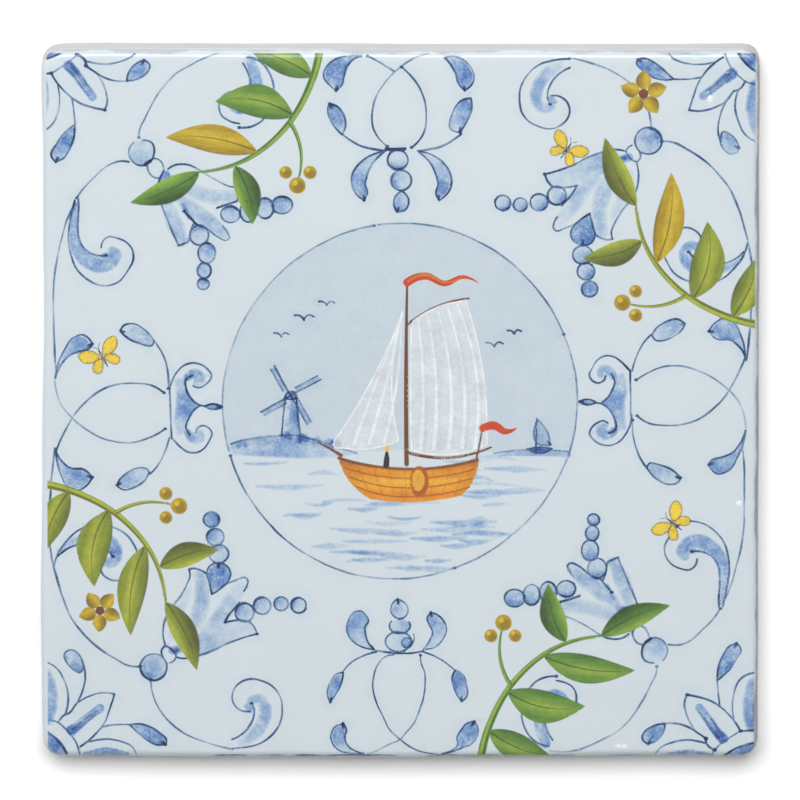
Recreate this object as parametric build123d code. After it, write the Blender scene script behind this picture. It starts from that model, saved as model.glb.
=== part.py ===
"""A square tin-glazed earthenware wall tile, pressed, trimmed by hand and fired as one piece.

The tile lies on its unglazed back with the glazed face up. The origin is the centre of the back,
+Z is the way the face looks and +Y is the top of the painted picture. All sizes are in millimetres.
"""

import os
from math import pi, sin

from build123d import *

# Driving dimensions of the body
SIDE = 130.0  # mean length of a side, measured across the glazed face
THICKNESS = 9.0  # from the back to the flat of the face
UNDERCUT = 0.05  # how far each side leans in towards the back, so that the faces close up when laid
FACE_ROLL = 1.3  # radius over which the glaze rolls from the face down to the sides
BACK_ARRIS = 0.4  # radius left by the sponge along the edge of the back

# Radii of the four worn corners, seen from above, going round clockwise from the top left
CORNER_RADII = {
    "top_left": 3.4,
    "top_right": 2.6,
    "bottom_right": 3.3,
    "bottom_left": 3.5,
}

# The sides were cut by hand: each one has a slow swell and a quicker ripple, which die out at the corners.
SWELL_LENGTH = 140.0  # length of one slow wave
RIPPLE_LENGTH = 34.0  # length of one quick wave
SPLINE_STEP = 10.0  # distance between the points that a side's curve passes through
# For each side, going round clockwise: height of the swell and its phase, height of the ripple and its phase
SIDE_WAVES = {
    "top": (0.07, 3.3, 0.05, 3.5),
    "right": (0.04, 2.4, 0.05, 0.4),
    "bottom": (0.17, 1.1, 0.05, 1.0),
    "left": (0.31, 3.5, 0.08, 2.0),
}
CORNER_FADE = 6  # power of the curve that fades the waves out: the higher, the nearer to the corner


def side_offset(along, half, wave):
    """How far a side stands out from its straight line, at a distance along it from its middle."""
    swell, swell_phase, ripple, ripple_phase = wave
    fade = 1.0 - abs(along / half) ** CORNER_FADE
    slow = swell * sin(2 * pi * along / SWELL_LENGTH + swell_phase)
    quick = ripple * sin(2 * pi * along / RIPPLE_LENGTH + ripple_phase)
    return fade * (slow + quick)


def side_curve(number, half, wave):
    """One side of the outline as a spline, drawn as the top side and then turned a quarter turn for each number."""
    spans = max(4, round(2 * half / SPLINE_STEP))
    along = [half * (2 * k / spans - 1) for k in range(spans + 1)]
    points = [(x, half + side_offset(x, half, wave)) for x in along]
    return Spline(*points).rotate(Axis.Z, -90 * number)


def outline(inset):
    """The wavy outline of the tile as a face, moved in by an inset, with its corners rounded."""
    half = SIDE / 2 - inset
    curves = [side_curve(n, half, wave) for n, wave in enumerate(SIDE_WAVES.values())]
    corners = {"top_left": (-1, 1), "top_right": (1, 1), "bottom_right": (1, -1), "bottom_left": (-1, -1)}
    sheet = make_face(Wire(curves))
    for name, (x_sign, y_sign) in corners.items():
        corner = sheet.vertices().sort_by_distance((x_sign * half, y_sign * half, 0))[0]
        sheet = fillet(corner, CORNER_RADII[name])
    return sheet


def tile_body():
    """The fired body: two outlines lofted into leaning sides, then the face and the back eased all round."""
    back = outline(UNDERCUT)
    face = outline(0.0).moved(Location((0, 0, THICKNESS)))
    body = loft([back, face], ruled=True)
    rim = body.faces().sort_by(Axis.Z)[-1].edges()
    body = fillet(rim, FACE_ROLL)
    foot = body.faces().sort_by(Axis.Z)[0].edges()
    return fillet(foot, BACK_ARRIS)


tile = tile_body()
os.makedirs("parts", exist_ok=True)
export_step(tile, "parts/tile.step")
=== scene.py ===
"""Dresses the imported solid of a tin-glazed wall tile: its glaze, its blue painted border and its roundel.

The painting is worked out as pen lines, brush washes and patches of enamel, in millimetres on the face.
The face is then meshed along every stroke, and each vertex keeps how much colour lies on it.
"""

from math import radians, tau

import bpy
import numpy as np
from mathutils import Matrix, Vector
from mathutils.geometry import delaunay_2d_cdt


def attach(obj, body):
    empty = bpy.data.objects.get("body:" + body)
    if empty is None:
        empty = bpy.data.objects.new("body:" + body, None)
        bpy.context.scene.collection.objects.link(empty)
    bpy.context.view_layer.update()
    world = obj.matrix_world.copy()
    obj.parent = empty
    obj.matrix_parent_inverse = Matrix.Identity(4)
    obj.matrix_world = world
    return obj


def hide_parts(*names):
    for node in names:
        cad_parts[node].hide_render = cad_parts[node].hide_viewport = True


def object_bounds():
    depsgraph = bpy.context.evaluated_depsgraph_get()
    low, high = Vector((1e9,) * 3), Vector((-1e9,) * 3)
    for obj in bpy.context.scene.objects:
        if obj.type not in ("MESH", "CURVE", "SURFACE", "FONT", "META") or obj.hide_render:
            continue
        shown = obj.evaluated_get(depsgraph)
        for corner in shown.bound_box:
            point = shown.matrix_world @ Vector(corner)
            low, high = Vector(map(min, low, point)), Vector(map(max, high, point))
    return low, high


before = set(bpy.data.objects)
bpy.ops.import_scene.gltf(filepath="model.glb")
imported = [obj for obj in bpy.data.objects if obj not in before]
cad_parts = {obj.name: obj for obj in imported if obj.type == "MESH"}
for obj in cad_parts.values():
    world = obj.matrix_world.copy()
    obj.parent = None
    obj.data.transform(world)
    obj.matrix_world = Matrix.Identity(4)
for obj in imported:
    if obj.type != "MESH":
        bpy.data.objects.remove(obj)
cad_low, cad_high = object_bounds()

bl_info = {
    "name": "Painted Wall Tile",
    "version": (1, 0, 0),
    "blender": (4, 5, 0),
    "location": "3D View > Sidebar > Tile",
    "description": "Glazes and paints a square wall tile and sets it on a pale studio floor",
    "category": "Object",
}

MM = 0.001  # one millimetre in Blender's metres
NODE = "tile"


class TileSettings(bpy.types.PropertyGroup):
    """Sizes and colours of the tile's finish."""

    pen_width: bpy.props.FloatProperty(
        name="Pen Width", description="Usual width of a drawn line",
        default=0.30 * MM, unit="LENGTH", precision=5,
    )
    back_arris: bpy.props.FloatProperty(
        name="Back Arris", description="Radius of the sponged edge of the back",
        default=0.4 * MM, unit="LENGTH", precision=5,
    )
    paint_step: bpy.props.FloatProperty(
        name="Paint Step", description="Distance between mesh points inside a painted patch",
        default=0.53 * MM, unit="LENGTH", precision=5,
    )
    bare_step: bpy.props.FloatProperty(
        name="Bare Step", description="Distance between mesh points on bare glaze",
        default=1.8 * MM, unit="LENGTH", precision=5,
    )
    hand_seed: bpy.props.IntProperty(
        name="Hand", description="Seed of the small wavers of the painter's hand", default=7
    )
    glaze: bpy.props.FloatVectorProperty(
        name="Glaze", description="Colour of the bare tin glaze",
        default=(0.70, 0.778, 0.823), subtype="COLOR",
    )
    # Painted shade: the dark colour the roll takes towards the rim on the right and behind, standing for shade
    # there as well as for thin glaze
    shaded_rim_glaze: bpy.props.FloatVectorProperty(
        name="Rim Glaze", description="Colour of the rim where the glaze is thin over the clay",
        default=(0.37, 0.37, 0.40), subtype="COLOR",
    )
    biscuit: bpy.props.FloatVectorProperty(
        name="Biscuit", description="Colour of the bare fired clay on the sides and back",
        default=(0.65, 0.655, 0.66), subtype="COLOR",
    )


class StageSettings(bpy.types.PropertyGroup):
    """Camera, light and floor."""

    tilt: bpy.props.FloatProperty(
        name="Tilt", description="How far the camera leans over towards the tile's top edge",
        default=radians(9.5), subtype="ANGLE",
    )
    lens: bpy.props.FloatProperty(
        name="Lens", description="Focal length, long so that the sides stay parallel",
        default=1200.0, unit="CAMERA",
    )
    field: bpy.props.FloatProperty(
        name="Field", description="Width of the picture at the tile's face",
        default=145.1 * MM, unit="LENGTH",
    )
    key_power: bpy.props.FloatProperty(
        name="Key Power", description="Power of the large soft lamp", default=10.5, unit="POWER"
    )
    side_power: bpy.props.FloatProperty(
        name="Side Power", description="Power of the low lamp on the left", default=3.0, unit="POWER"
    )
    sky_strength: bpy.props.FloatProperty(
        name="Sky Strength", description="Strength of the pale sky overhead", default=0.34
    )
    floor_lift: bpy.props.FloatProperty(
        name="Floor Lift", description="How much paler the floor is to the camera than to the light",
        default=0.5,
    )


# Curves and distances

ROW_STEP = 0.5  # distance between points along a stroke, in millimetres
BLOCK = 4_000_000  # most pairs of points that are measured at once


def lengths(path):
    """Distance of each point of a path from its start."""
    return np.r_[0.0, np.cumsum(np.linalg.norm(np.diff(path, axis=0), axis=1))]


def paced(path, values):
    """Values given at even steps along a path, worked out for each of its points."""
    s, values = lengths(path), np.atleast_1d(values)
    return np.interp(s / s[-1], np.linspace(0.0, 1.0, len(values)), values)


def smooth(points, step=ROW_STEP, lap=0):
    """A smooth curve through a few points: cubic spans whose slopes are the differences along the chords.

    The lap is how many points at each end only guide the curve and aren't drawn through.
    """
    p = np.asarray(points, float)
    s = lengths(p)
    slope = np.gradient(p, s, axis=0, edge_order=min(2, len(p) - 1))
    t = np.linspace(s[lap], s[-1 - lap], max(3, int(np.ceil((s[-1 - lap] - s[lap]) / step)) + 1))
    k = np.clip(np.searchsorted(s, t, "right") - 1, 0, len(s) - 2)
    h = (s[k + 1] - s[k])[:, None]
    u = (t - s[k])[:, None] / h
    lift = (2 * u**3 - 3 * u**2 + 1) * p[k] + (3 * u**2 - 2 * u**3) * p[k + 1]
    return lift + h * ((u**3 - 2 * u**2 + u) * slope[k] + (u**3 - u**2) * slope[k + 1])


def ring_points(centre, radius, start=0.0, turn=tau, squash=1.0, step=ROW_STEP):
    """Points of an arc: the centre plus the radius turned from the start angle, squashed if asked."""
    angle = start + np.linspace(0.0, turn, max(9, int(abs(turn) * radius / step) + 1))
    return np.column_stack((centre[0] + radius * np.cos(angle), centre[1] + radius * squash * np.sin(angle)))


def smooth_sides(sides):
    """The sides of a closed outline as smooth curves: each starts where the one before it ends."""
    full = [sides[0]] + [[before[-1], *side] for before, side in zip(sides, sides[1:])]
    return [smooth(side) for side in full]


def closed_outline(curves):
    """The outline of curves that meet end to end, with no point twice."""
    return np.vstack([curve[:-1] for curve in curves])


def leftward(path):
    """Unit vectors to the left of a path: its direction turned by a quarter turn."""
    d = np.gradient(path, axis=0)
    d /= np.maximum(np.linalg.norm(d, axis=1, keepdims=True), 1e-9)
    return np.column_stack((-d[:, 1], d[:, 0]))


def nearest(points, path):
    """Distance from points to a path of straight pieces, and where along the path, counted in its points."""
    a, d = path[:-1], np.diff(path, axis=0)
    dd = np.maximum((d * d).sum(1), 1e-12)
    rows = max(1, BLOCK // len(a))
    far, where = np.empty(len(points)), np.empty(len(points))
    for i in range(0, len(points), rows):
        q = points[i : i + rows, None, :] - a
        t = np.clip((q * d).sum(2) / dd, 0.0, 1.0)
        gap = ((q - t[..., None] * d) ** 2).sum(2)
        k = gap.argmin(1)
        pick = np.arange(len(k))
        far[i : i + rows] = np.sqrt(gap[pick, k])
        where[i : i + rows] = k + t[pick, k]
    return far, where


def inside(points, outline):
    """True where a line from a point to the right crosses the closed outline an odd number of times."""
    a, b = outline, np.roll(outline, -1, axis=0)
    out = np.empty(len(points), bool)
    rows = max(1, BLOCK // len(a))
    rise = np.where(b[:, 1] == a[:, 1], 1e-12, b[:, 1] - a[:, 1])
    for i in range(0, len(points), rows):
        x, y = points[i : i + rows, :1], points[i : i + rows, 1:]
        straddles = (a[:, 1] > y) != (b[:, 1] > y)
        crosses = x < a[:, 0] + (y - a[:, 1]) * (b[:, 0] - a[:, 0]) / rise
        out[i : i + rows] = (straddles & crosses).sum(1) % 2 == 1
    return out


def signed_gap(points, outline):
    """Distance from a closed outline, negative inside it."""
    far, _ = nearest(points, np.vstack((outline, outline[:1])))
    return np.where(inside(points, outline), -far, far)


def within_box(points, shape, margin):
    """Numbers of the points that lie in the shape's own box, widened by a margin."""
    low, high = shape.min(0) - margin, shape.max(0) + margin
    return np.nonzero(((points >= low) & (points <= high)).all(1))[0]


# Marks of the pen and the brush, in millimetres

LEAST_HALF = 0.02  # half the width of the thinnest row of points along a stroke
END_FAN = np.linspace(-1.2, 1.2, 5)  # directions of the points round the end of a stroke
STROKE_POOL, PATCH_POOL = 0.22, 0.3  # how far in from its edge a stroke and a patch dry darker
PALE = 0.38  # share of its tone that a patch keeps far from its deep place
BLEED, BLEED_SHARE = 0.3, 0.06  # how far cobalt bleeds round a mark, and the share of its tone that does
FRINGE = 1.0  # how far round a mark of enamel bare points take its colour
NO_ENAMEL = 0.8  # the grey of points far from any enamel
HAND_WAVES = ((13.0, 0.55), (5.1, 0.3), (2.2, 0.15))  # length and share of each wave of the hand
SHAKE, SWELL, PRESS = 0.06, 0.3, 0.6  # how much the path, the width and the depth of a line waver
LINE_DEPTH, MOST_INK = 1.18, 1.4  # depth of ink on a line of tone 1, and the most that ink can have
LINE_SOFT, DOT_SOFT = 0.065, 0.06  # half the width over which the edge of a line and of a dot fades


class Stroke:
    """A mark along a path: full within half its width, and fading out over a soft edge."""

    def __init__(self, path, half, tone, soft, pool=0.0):
        self.path = path
        self.half = np.broadcast_to(half, len(path)).astype(float)
        self.tone = np.broadcast_to(tone, len(path)).astype(float)
        self.soft, self.pool = soft, pool

    def cover(self, points, reach=0.0):
        """Which points the mark reaches, its share and tone there, and how far inside its edge they lie."""
        k = within_box(points, self.path, self.half.max() + self.soft + reach)
        far, where = nearest(points[k], self.path)
        at = np.arange(len(self.path))
        inward = np.interp(where, at, self.half) - far
        pooled = 1.0 + self.pool * np.exp(-np.maximum(inward, 0.0) / STROKE_POOL)
        tone = np.interp(where, at, self.tone) * pooled
        return k, np.clip((inward + self.soft) / (2 * self.soft), 0.0, 1.0), tone, inward

    def rows(self):
        """Points along both edges of the mark, just inside and just outside, with a few round its ends."""
        out, side = [], leftward(self.path)
        for edge in (-self.soft, self.soft):
            reach = np.maximum(self.half + edge, LEAST_HALF)
            out += [self.path + side * reach[:, None], self.path - side * reach[:, None]]
        for end, on in ((0, 1), (-1, -2)):
            ahead = self.path[end] - self.path[on]
            turn = np.arctan2(ahead[1], ahead[0]) + END_FAN
            fan = np.column_stack((np.cos(turn), np.sin(turn)))
            for edge in (-self.soft, self.soft):
                out.append(self.path[end] + max(self.half[end] + edge, LEAST_HALF) * fan)
        return np.vstack(out)


class Patch:
    """A filled patch, deeper in tone near one place and along its edge, as a wash dries."""

    def __init__(self, outline, tone, soft, deep=None, spread=1.5, pool=0.25):
        self.outline, self.tone, self.soft = outline, tone, soft
        self.deep, self.spread, self.pool = deep, spread, pool

    def cover(self, points, reach=0.0):
        """Which points the patch reaches, its share and tone there, and how far inside its edge they lie."""
        k = within_box(points, self.outline, self.soft + reach)
        gap = signed_gap(points[k], self.outline)
        tone = self.tone * (1.0 + self.pool * np.exp(np.minimum(gap, 0.0) / PATCH_POOL))
        if self.deep is not None:
            away = ((points[k] - self.deep) ** 2).sum(1)
            tone = tone * (PALE + np.exp(-away / self.spread**2))
        return k, np.clip((self.soft - gap) / (2 * self.soft), 0.0, 1.0), tone, -gap

    def rows(self):
        """Points along the outline, just inside and just outside it."""
        closed = np.vstack((self.outline[-1:], self.outline, self.outline[:1]))
        side = leftward(closed)[1:-1]
        return np.vstack((self.outline - side * self.soft, self.outline + side * self.soft))


def bleed(tone, inward):
    """Cobalt that bleeds round a mark: a share of its tone at its edge, falling evenly to nothing."""
    return BLEED_SHARE * tone * np.clip(1.0 + inward / BLEED, 0.0, 1.0)


class Painting:
    """All that is painted on the face, in millimetres: cobalt lines, cobalt washes and coloured enamels."""

    def __init__(self, seed, pen_width):
        self.random = np.random.default_rng(seed)
        self.pen_width = pen_width
        self.lines, self.washes, self.enamels = [], [], []

    def waver(self, s):
        """A slow wave of the hand along a stroke: three sines of random phase, from about -1 to 1."""
        phase = self.random.uniform(0.0, tau, 3)
        return sum(w * np.sin(tau * s / length + p) for (length, w), p in zip(HAND_WAVES, phase))

    def shapes(self):
        """Every mark of the pen and the brush."""
        return self.lines + self.washes + [mark for mark, _ in self.enamels]

    def cobalt(self, points, bleeds=True):
        """Depth of line and depth of wash at points: lines keep the deepest, washes add up.

        What bleeds into the glaze round the marks counts as wash, and keeps the deepest too.
        """
        ink, wash, bled = np.zeros((3, len(points)))
        for mark in self.lines:
            k, share, tone, inward = mark.cover(points, BLEED)
            ink[k] = np.maximum(ink[k], share * tone)
            bled[k] = np.maximum(bled[k], bleed(tone, inward))
        for mark in self.washes:
            k, share, tone, inward = mark.cover(points, BLEED)
            wash[k] += share * tone
            bled[k] = np.maximum(bled[k], bleed(tone, inward))
        return ink, (wash + bled if bleeds else wash)

    def enamel(self, points):
        """Colour and cover of the enamels at points, each laid over the ones before it.

        A point that none covers takes the colour of the nearest, so that no edge shows another colour.
        """
        colour, cover = np.full((len(points), 3), NO_ENAMEL), np.zeros(len(points))
        closest = np.full(len(points), -np.inf)
        for mark, tint in self.enamels:
            k, share, tone, inward = mark.cover(points, FRINGE)
            lay = (share * np.clip(tone, 0.0, 1.0))[:, None]
            new = tint(points[k]) if callable(tint) else np.asarray(tint, float)
            fresh = (cover[k] <= 0.0) & ((share > 0.0) | (inward > closest[k]))
            colour[k] = np.where(fresh[:, None], new, colour[k] * (1 - lay) + new * lay)
            cover[k] = cover[k] + (1 - cover[k]) * lay[:, 0]
            closest[k] = np.maximum(closest[k], inward)
        return colour, cover

    def depth(self, points):
        """How much paint of any kind lies at points: line, wash and enamel added up."""
        ink, wash = self.cobalt(points)
        return ink + wash + self.enamel(points)[1]


class Pen:
    """A hand at one place of the border: it mirrors, turns and shifts what it draws."""

    def __init__(self, painting, mirror=False, turn=False, shift=(0.0, 0.0)):
        self.painting = painting
        self.flip = np.array((-1.0 if mirror else 1.0, 1.0))
        self.turn = -1.0 if turn else 1.0
        self.shift = np.asarray(shift, float)

    def put(self, points):
        """Points moved to this place of the border."""
        return self.turn * (np.asarray(points, float) * self.flip + self.shift)

    def draw(self, path, width=1.0, tone=0.62, fade=(1.3, 0.9, 1.0, 1.3), dots=""):
        """An ink line on a dense path: its width and depth waver, it can fade along it, and dots end it."""
        painting, course = self.painting, self.put(path)
        s = lengths(course)
        path = course + leftward(course) * (SHAKE * painting.waver(s))[:, None]
        half = 0.5 * painting.pen_width * width * (1.0 + SWELL * painting.waver(s))
        depth = LINE_DEPTH * tone * np.clip(1.0 + PRESS * painting.waver(s), 0.35, 1.8)
        depth *= paced(course, fade)
        painting.lines.append(Stroke(path, half, np.minimum(depth, MOST_INK), LINE_SOFT))
        for end, name in ((0, "start"), (-1, "end")):
            if name in dots:
                spot = path[end] + np.array(((-0.08, 0.0), (0.0, 0.03), (0.08, 0.0)))
                painting.lines.append(Stroke(spot, 0.25 * width, min(1.3, tone * 1.9), DOT_SOFT))

    def line(self, points, **how):
        """An ink line through a few points."""
        self.draw(smooth(points), **how)

    def wash(self, outline, tone=0.6, deep=None, soft=0.09, spread=1.5, pool=0.25):
        """A wash inside a closed outline."""
        deep = None if deep is None else self.put(deep)
        self.painting.washes.append(Patch(self.put(outline), tone, soft, deep, spread, pool))

    def brush(self, points, half, tone=0.5, soft=0.12, pool=0.4, hairs=0):
        """A wash drawn as one stroke of the brush: half its width and its tone are given at its points.

        Its edges dry darker, and single hairs of the brush can leave thin lines along it.
        """
        path = self.put(smooth(points))
        tone = paced(path, tone)
        half = paced(path, half) * (1.0 + 0.1 * self.painting.waver(lengths(path)))
        self.painting.washes.append(Stroke(path, half, tone, soft, pool))
        draw, side = self.painting.random, leftward(path)
        for at in draw.uniform(-0.75, 0.75, hairs):
            first, last = (draw.uniform((0.0, 0.6), (0.3, 1.0)) * (len(path) - 1)).astype(int)
            line = (path + side * (half * at)[:, None])[first : last + 1]
            if len(line) > 3:
                self.painting.lines.append(Stroke(line, 0.09, 0.22 + 0.3 * tone[first], 0.07))

    def leaf(self, *sides, fill=0.6, deep=None, spread=1.5, tone=0.62, width=1.0, tip=0):
        """A drawn leaf: smooth sides that meet in points, a wash inside and ink pooled where one ends."""
        curves = smooth_sides(sides)
        outline = closed_outline(curves)
        for curve in curves:
            self.draw(curve, tone=tone, width=width, fade=(1.3, 0.8, 1.2))
        middle, end = outline.mean(0), curves[tip][-1]
        inward = (middle - end) / np.linalg.norm(middle - end)
        pooled = end + inward * np.array(((0.0,), (0.35,), (0.8,)))
        self.draw(pooled, width=1.5, tone=1.5 * tone, fade=(1.2, 1.0, 0.4))
        drift = self.painting.random.uniform(-0.14, 0.14, 2)
        self.wash(middle + 0.92 * (outline - middle) + drift, 0.86 * fill, deep, spread=spread)
        self.dab(outline, 2 + int(3 * fill), 0.35 * fill)

    def dab(self, outline, count, tone):
        """Short touches of the brush inside an outline, laid along its longest way."""
        draw = self.painting.random
        middle = outline.mean(0)
        along = np.linalg.svd(outline - middle, full_matrices=False)[2][0]
        edge = outline[draw.integers(0, len(outline), count)]
        for start in middle + (edge - middle) * draw.uniform(0.2, 0.7, (count, 1)):
            end = start + along * draw.uniform(0.4, 1.1) * draw.choice((-1.0, 1.0))
            self.brush([start, (start + end) / 2 + draw.uniform(-0.1, 0.1, 2), end], (0.1, 0.16, 0.08), tone,
                       soft=0.12)

    def bead(self, centre, radius, fill=0.3, tone=0.62, squash=1.0, deep=(0.3, -0.3)):
        """A drawn ball: a loop pressed harder at one side, where its wash is deepest."""
        centre = np.asarray(centre, float)
        start = self.painting.random.uniform(0.0, tau)
        self.draw(ring_points(centre, radius, start, tau * 1.03, squash), tone=tone)
        side = np.arctan2(deep[1], deep[0])
        pressed = ring_points(centre, 0.97 * radius, side - 0.9, 1.8, squash)
        self.draw(pressed, width=1.4, tone=1.15 * tone, fade=(0.4, 1.2, 0.4))
        shaded = ring_points(centre, 0.7 * radius, side - 1.2, 2.4, squash)
        self.brush(shaded, (0.1, 0.2 * radius, 0.1), 0.3, soft=0.2)
        filled = ring_points(centre, radius * 0.94, 0.0, tau, squash)[:-1]
        self.wash(filled, 0.85 * fill, centre + radius * np.asarray(deep), soft=0.14, spread=0.8 * radius)


# The border: the motifs of its upper half, and the middles of its sides


def draw_rosette(pen):
    """A quarter flower in the corner: a lens, a ring, a pointed petal, half petals and two buds."""
    lens = [(60.9, 65.1), (61.9, 63.3), (63.1, 62.0), (65.1, 60.7)]
    pen.line(lens, width=1.3, tone=0.8)
    pen.wash(np.vstack((smooth(lens), ((65.6, 61.5), (65.2, 64.4), (62.0, 65.6)))), 0.75, (63.0, 63.0),
             spread=2.0)
    pen.line([(58.5, 65.3), (59.1, 63.3), (59.9, 61.8), (61.2, 60.3), (62.4, 59.3), (65.0, 58.7)], tone=0.4)
    pen.line([(58.4, 63.7), (56.6, 62.4), (55.0, 60.7), (53.8, 58.9), (53.1, 56.8), (52.2, 54.1)], tone=0.7)
    pen.line([(62.4, 59.3), (61.4, 57.9), (60.4, 57.5), (59.1, 55.8), (56.6, 54.4), (54.3, 53.8),
              (52.2, 54.0)], tone=0.6)
    pen.brush([(60.0, 60.7), (59.2, 60.1), (57.2, 58.5), (54.8, 56.6)], (1.0, 0.85, 0.8, 0.75),
              (0.64, 0.5, 0.45, 0.5), hairs=5)
    pen.brush([(59.9, 60.6), (59.2, 60.1), (58.4, 59.4)], (0.8, 0.7, 0.4), (0.5, 0.3, 0.15), soft=0.2,
              hairs=3)
    pen.line([(48.2, 65.2), (49.2, 63.6), (51.0, 62.8), (53.1, 62.4), (55.4, 62.5), (56.8, 62.8)], tone=0.4)
    pen.brush([(50.0, 65.2), (53.5, 64.8), (57.5, 65.3)], (0.5, 0.9, 0.5), 0.55 if pen.turn < 0 else 0.18)
    pen.line([(61.2, 57.8), (60.6, 55.1), (61.2, 51.8), (62.4, 49.5), (65.0, 48.0)], tone=0.5)
    pen.brush([(64.6, 58.4), (64.2, 55.5), (64.5, 50.4)], (1.2, 1.6, 0.9), (0.65, 0.5, 0.4), soft=0.35)
    pen.line([(54.3, 60.0), (51.5, 59.7), (49.4, 59.7)], tone=0.5)
    pen.leaf(
        [(49.4, 59.7), (46.0, 59.9), (43.9, 61.2), (42.7, 62.6), (42.9, 63.3)],
        [(44.1, 63.5), (46.4, 62.4), (48.0, 61.1), (49.4, 59.7)],
        fill=0.8, deep=(45.0, 62.0), spread=2.6,
    )
    pen.line([(60.3, 57.6), (58.9, 55.6), (57.9, 53.0), (57.5, 50.6), (57.9, 48.3)], tone=0.5)
    pen.leaf(
        [(57.9, 48.3), (58.6, 46.7), (59.8, 45.9), (61.0, 46.3), (61.3, 47.1)],
        [(60.7, 48.5), (59.6, 49.6), (58.5, 50.1), (57.9, 48.3)],
        fill=0.55, deep=(59.2, 49.3), spread=1.6, tone=0.38,
    )


def draw_bell(pen):
    """A bell flower that hangs from a ball towards the middle, with a chain of beads on each side."""
    pen.bead((44.9, 48.4), 2.45, fill=0.42, tone=0.75, deep=(0.1, 0.1))
    pen.line([(41.9, 47.6), (41.1, 47.1), (40.8, 46.4), (41.2, 45.6), (42.0, 44.8), (42.8, 44.5),
              (43.4, 45.2), (43.2, 46.5)], tone=0.55)
    upper = [(40.8, 46.5), (38.8, 46.8), (36.0, 46.1), (33.5, 45.1), (31.2, 43.9), (29.0, 43.1),
             (26.1, 42.3)]
    lip = [(26.1, 42.3), (26.7, 40.8), (27.4, 40.1), (28.8, 39.8), (30.4, 39.9), (31.9, 40.2)]
    pen.line(upper, tone=0.55, dots="end")
    pen.line(lip, tone=0.6)
    pen.line([(31.9, 40.2), (31.1, 38.7), (30.1, 37.5), (29.2, 36.5)], tone=0.75)
    pen.line([(28.4, 34.4), (27.8, 33.2), (27.7, 32.4), (28.1, 31.9), (29.7, 32.3), (32.3, 33.5)], tone=0.5)
    right = [(42.7, 44.5), (43.1, 42.2), (42.8, 39.8), (41.8, 37.7), (40.2, 35.6), (38.8, 33.2),
             (38.2, 31.6), (38.4, 30.4)]
    pen.line(right, tone=0.48)
    pen.line([(38.4, 30.3), (37.4, 30.2), (36.4, 30.5), (35.3, 31.2)], tone=0.5)
    fold = [(32.2, 40.3), (35.0, 42.6), (38.4, 45.2), (38.8, 46.6)]
    hood = np.vstack((smooth(upper[1:]), smooth(lip), smooth(fold)))
    pen.wash(hood, 0.3, (36.5, 44.5), soft=0.3, spread=4.0, pool=0.1)
    pen.brush([(41.4, 45.4), (39.6, 44.8), (37.2, 43.4), (35.0, 42.0)], (0.55, 0.6, 0.6, 0.3),
              (0.75, 0.6, 0.42, 0.1), soft=0.35)
    pen.brush([(40.6, 45.3), (39.4, 44.9)], (0.35, 0.25), (0.6, 0.3), soft=0.2)
    pen.brush([(35.5, 41.6), (33.0, 39.3), (30.8, 36.4), (29.2, 33.6)], (0.5, 1.1, 1.3, 0.8),
              (0.2, 0.34, 0.22, 0.1), soft=0.6)
    pen.brush([(38.4, 42.6), (36.9, 39.4), (36.0, 35.8), (36.4, 31.6)], (0.5, 1.1, 1.0, 0.9),
              (0.12, 0.3, 0.34, 0.28), soft=0.6)
    pen.brush([(41.6, 42.8), (40.6, 38.6), (38.6, 34.4)], (0.4, 0.9, 0.5), (0.1, 0.15, 0.1), soft=0.6)
    pen.leaf(
        [(34.3, 35.0), (32.9, 34.1), (31.4, 32.8), (30.8, 31.2), (31.5, 29.8), (33.0, 29.3)],
        [(34.6, 29.7), (35.2, 30.9), (34.8, 32.6), (34.3, 35.0)],
        fill=0.85, deep=(33.6, 31.4), spread=2.4, tone=0.7,
    )
    pen.bead((33.0, 27.5), 1.8, fill=0.34, squash=0.92)
    pen.bead((33.6, 24.4), 1.56, fill=0.4)
    pen.bead((34.3, 21.2), 1.45, fill=0.8, deep=(-0.1, 0.0))
    pen.bead((28.3, 38.3), 1.7, fill=0.3, tone=0.7)
    pen.bead((25.1, 37.1), 1.58, fill=0.3)
    pen.bead((21.7, 36.7), 1.27, fill=0.34)
    pen.bead((18.5, 37.0), 1.4, fill=0.3, tone=0.72)


def draw_top_scroll(pen):
    """A thin stem that climbs from the ball to the top edge and curls down in a scroll."""
    pen.line([(45.4, 50.6), (45.0, 53.5), (44.1, 55.8), (42.7, 57.7), (41.0, 59.4), (38.6, 61.0),
              (34.8, 62.5), (30.4, 63.6)], tone=0.42, fade=(1.2, 0.7), dots="start")
    pen.line([(30.6, 63.4), (28.0, 63.2), (25.3, 62.4), (23.2, 60.7), (21.8, 58.4), (21.5, 56.0),
              (21.9, 53.7), (23.2, 52.0), (25.1, 51.0), (27.1, 50.6), (29.0, 51.2), (30.3, 52.5),
              (30.6, 54.4), (29.9, 55.8), (28.8, 56.5), (27.4, 56.6)], tone=0.55)
    pen.line([(30.6, 61.8), (28.7, 60.7), (27.4, 59.1), (26.7, 57.5), (26.6, 56.3), (27.1, 55.1)], tone=0.5,
             dots="end")
    pen.brush([(29.0, 62.3), (26.4, 60.6), (24.9, 58.3), (24.6, 56.0), (25.7, 54.4), (27.2, 54.6)],
              (0.5, 0.9, 1.0, 1.0, 0.8, 0.6), (0.15, 0.3, 0.45, 0.5, 0.4, 0.3), soft=0.4)
    pen.brush([(27.2, 56.2), (27.9, 55.6)], (0.6, 0.5), 0.35, soft=0.25)


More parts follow.
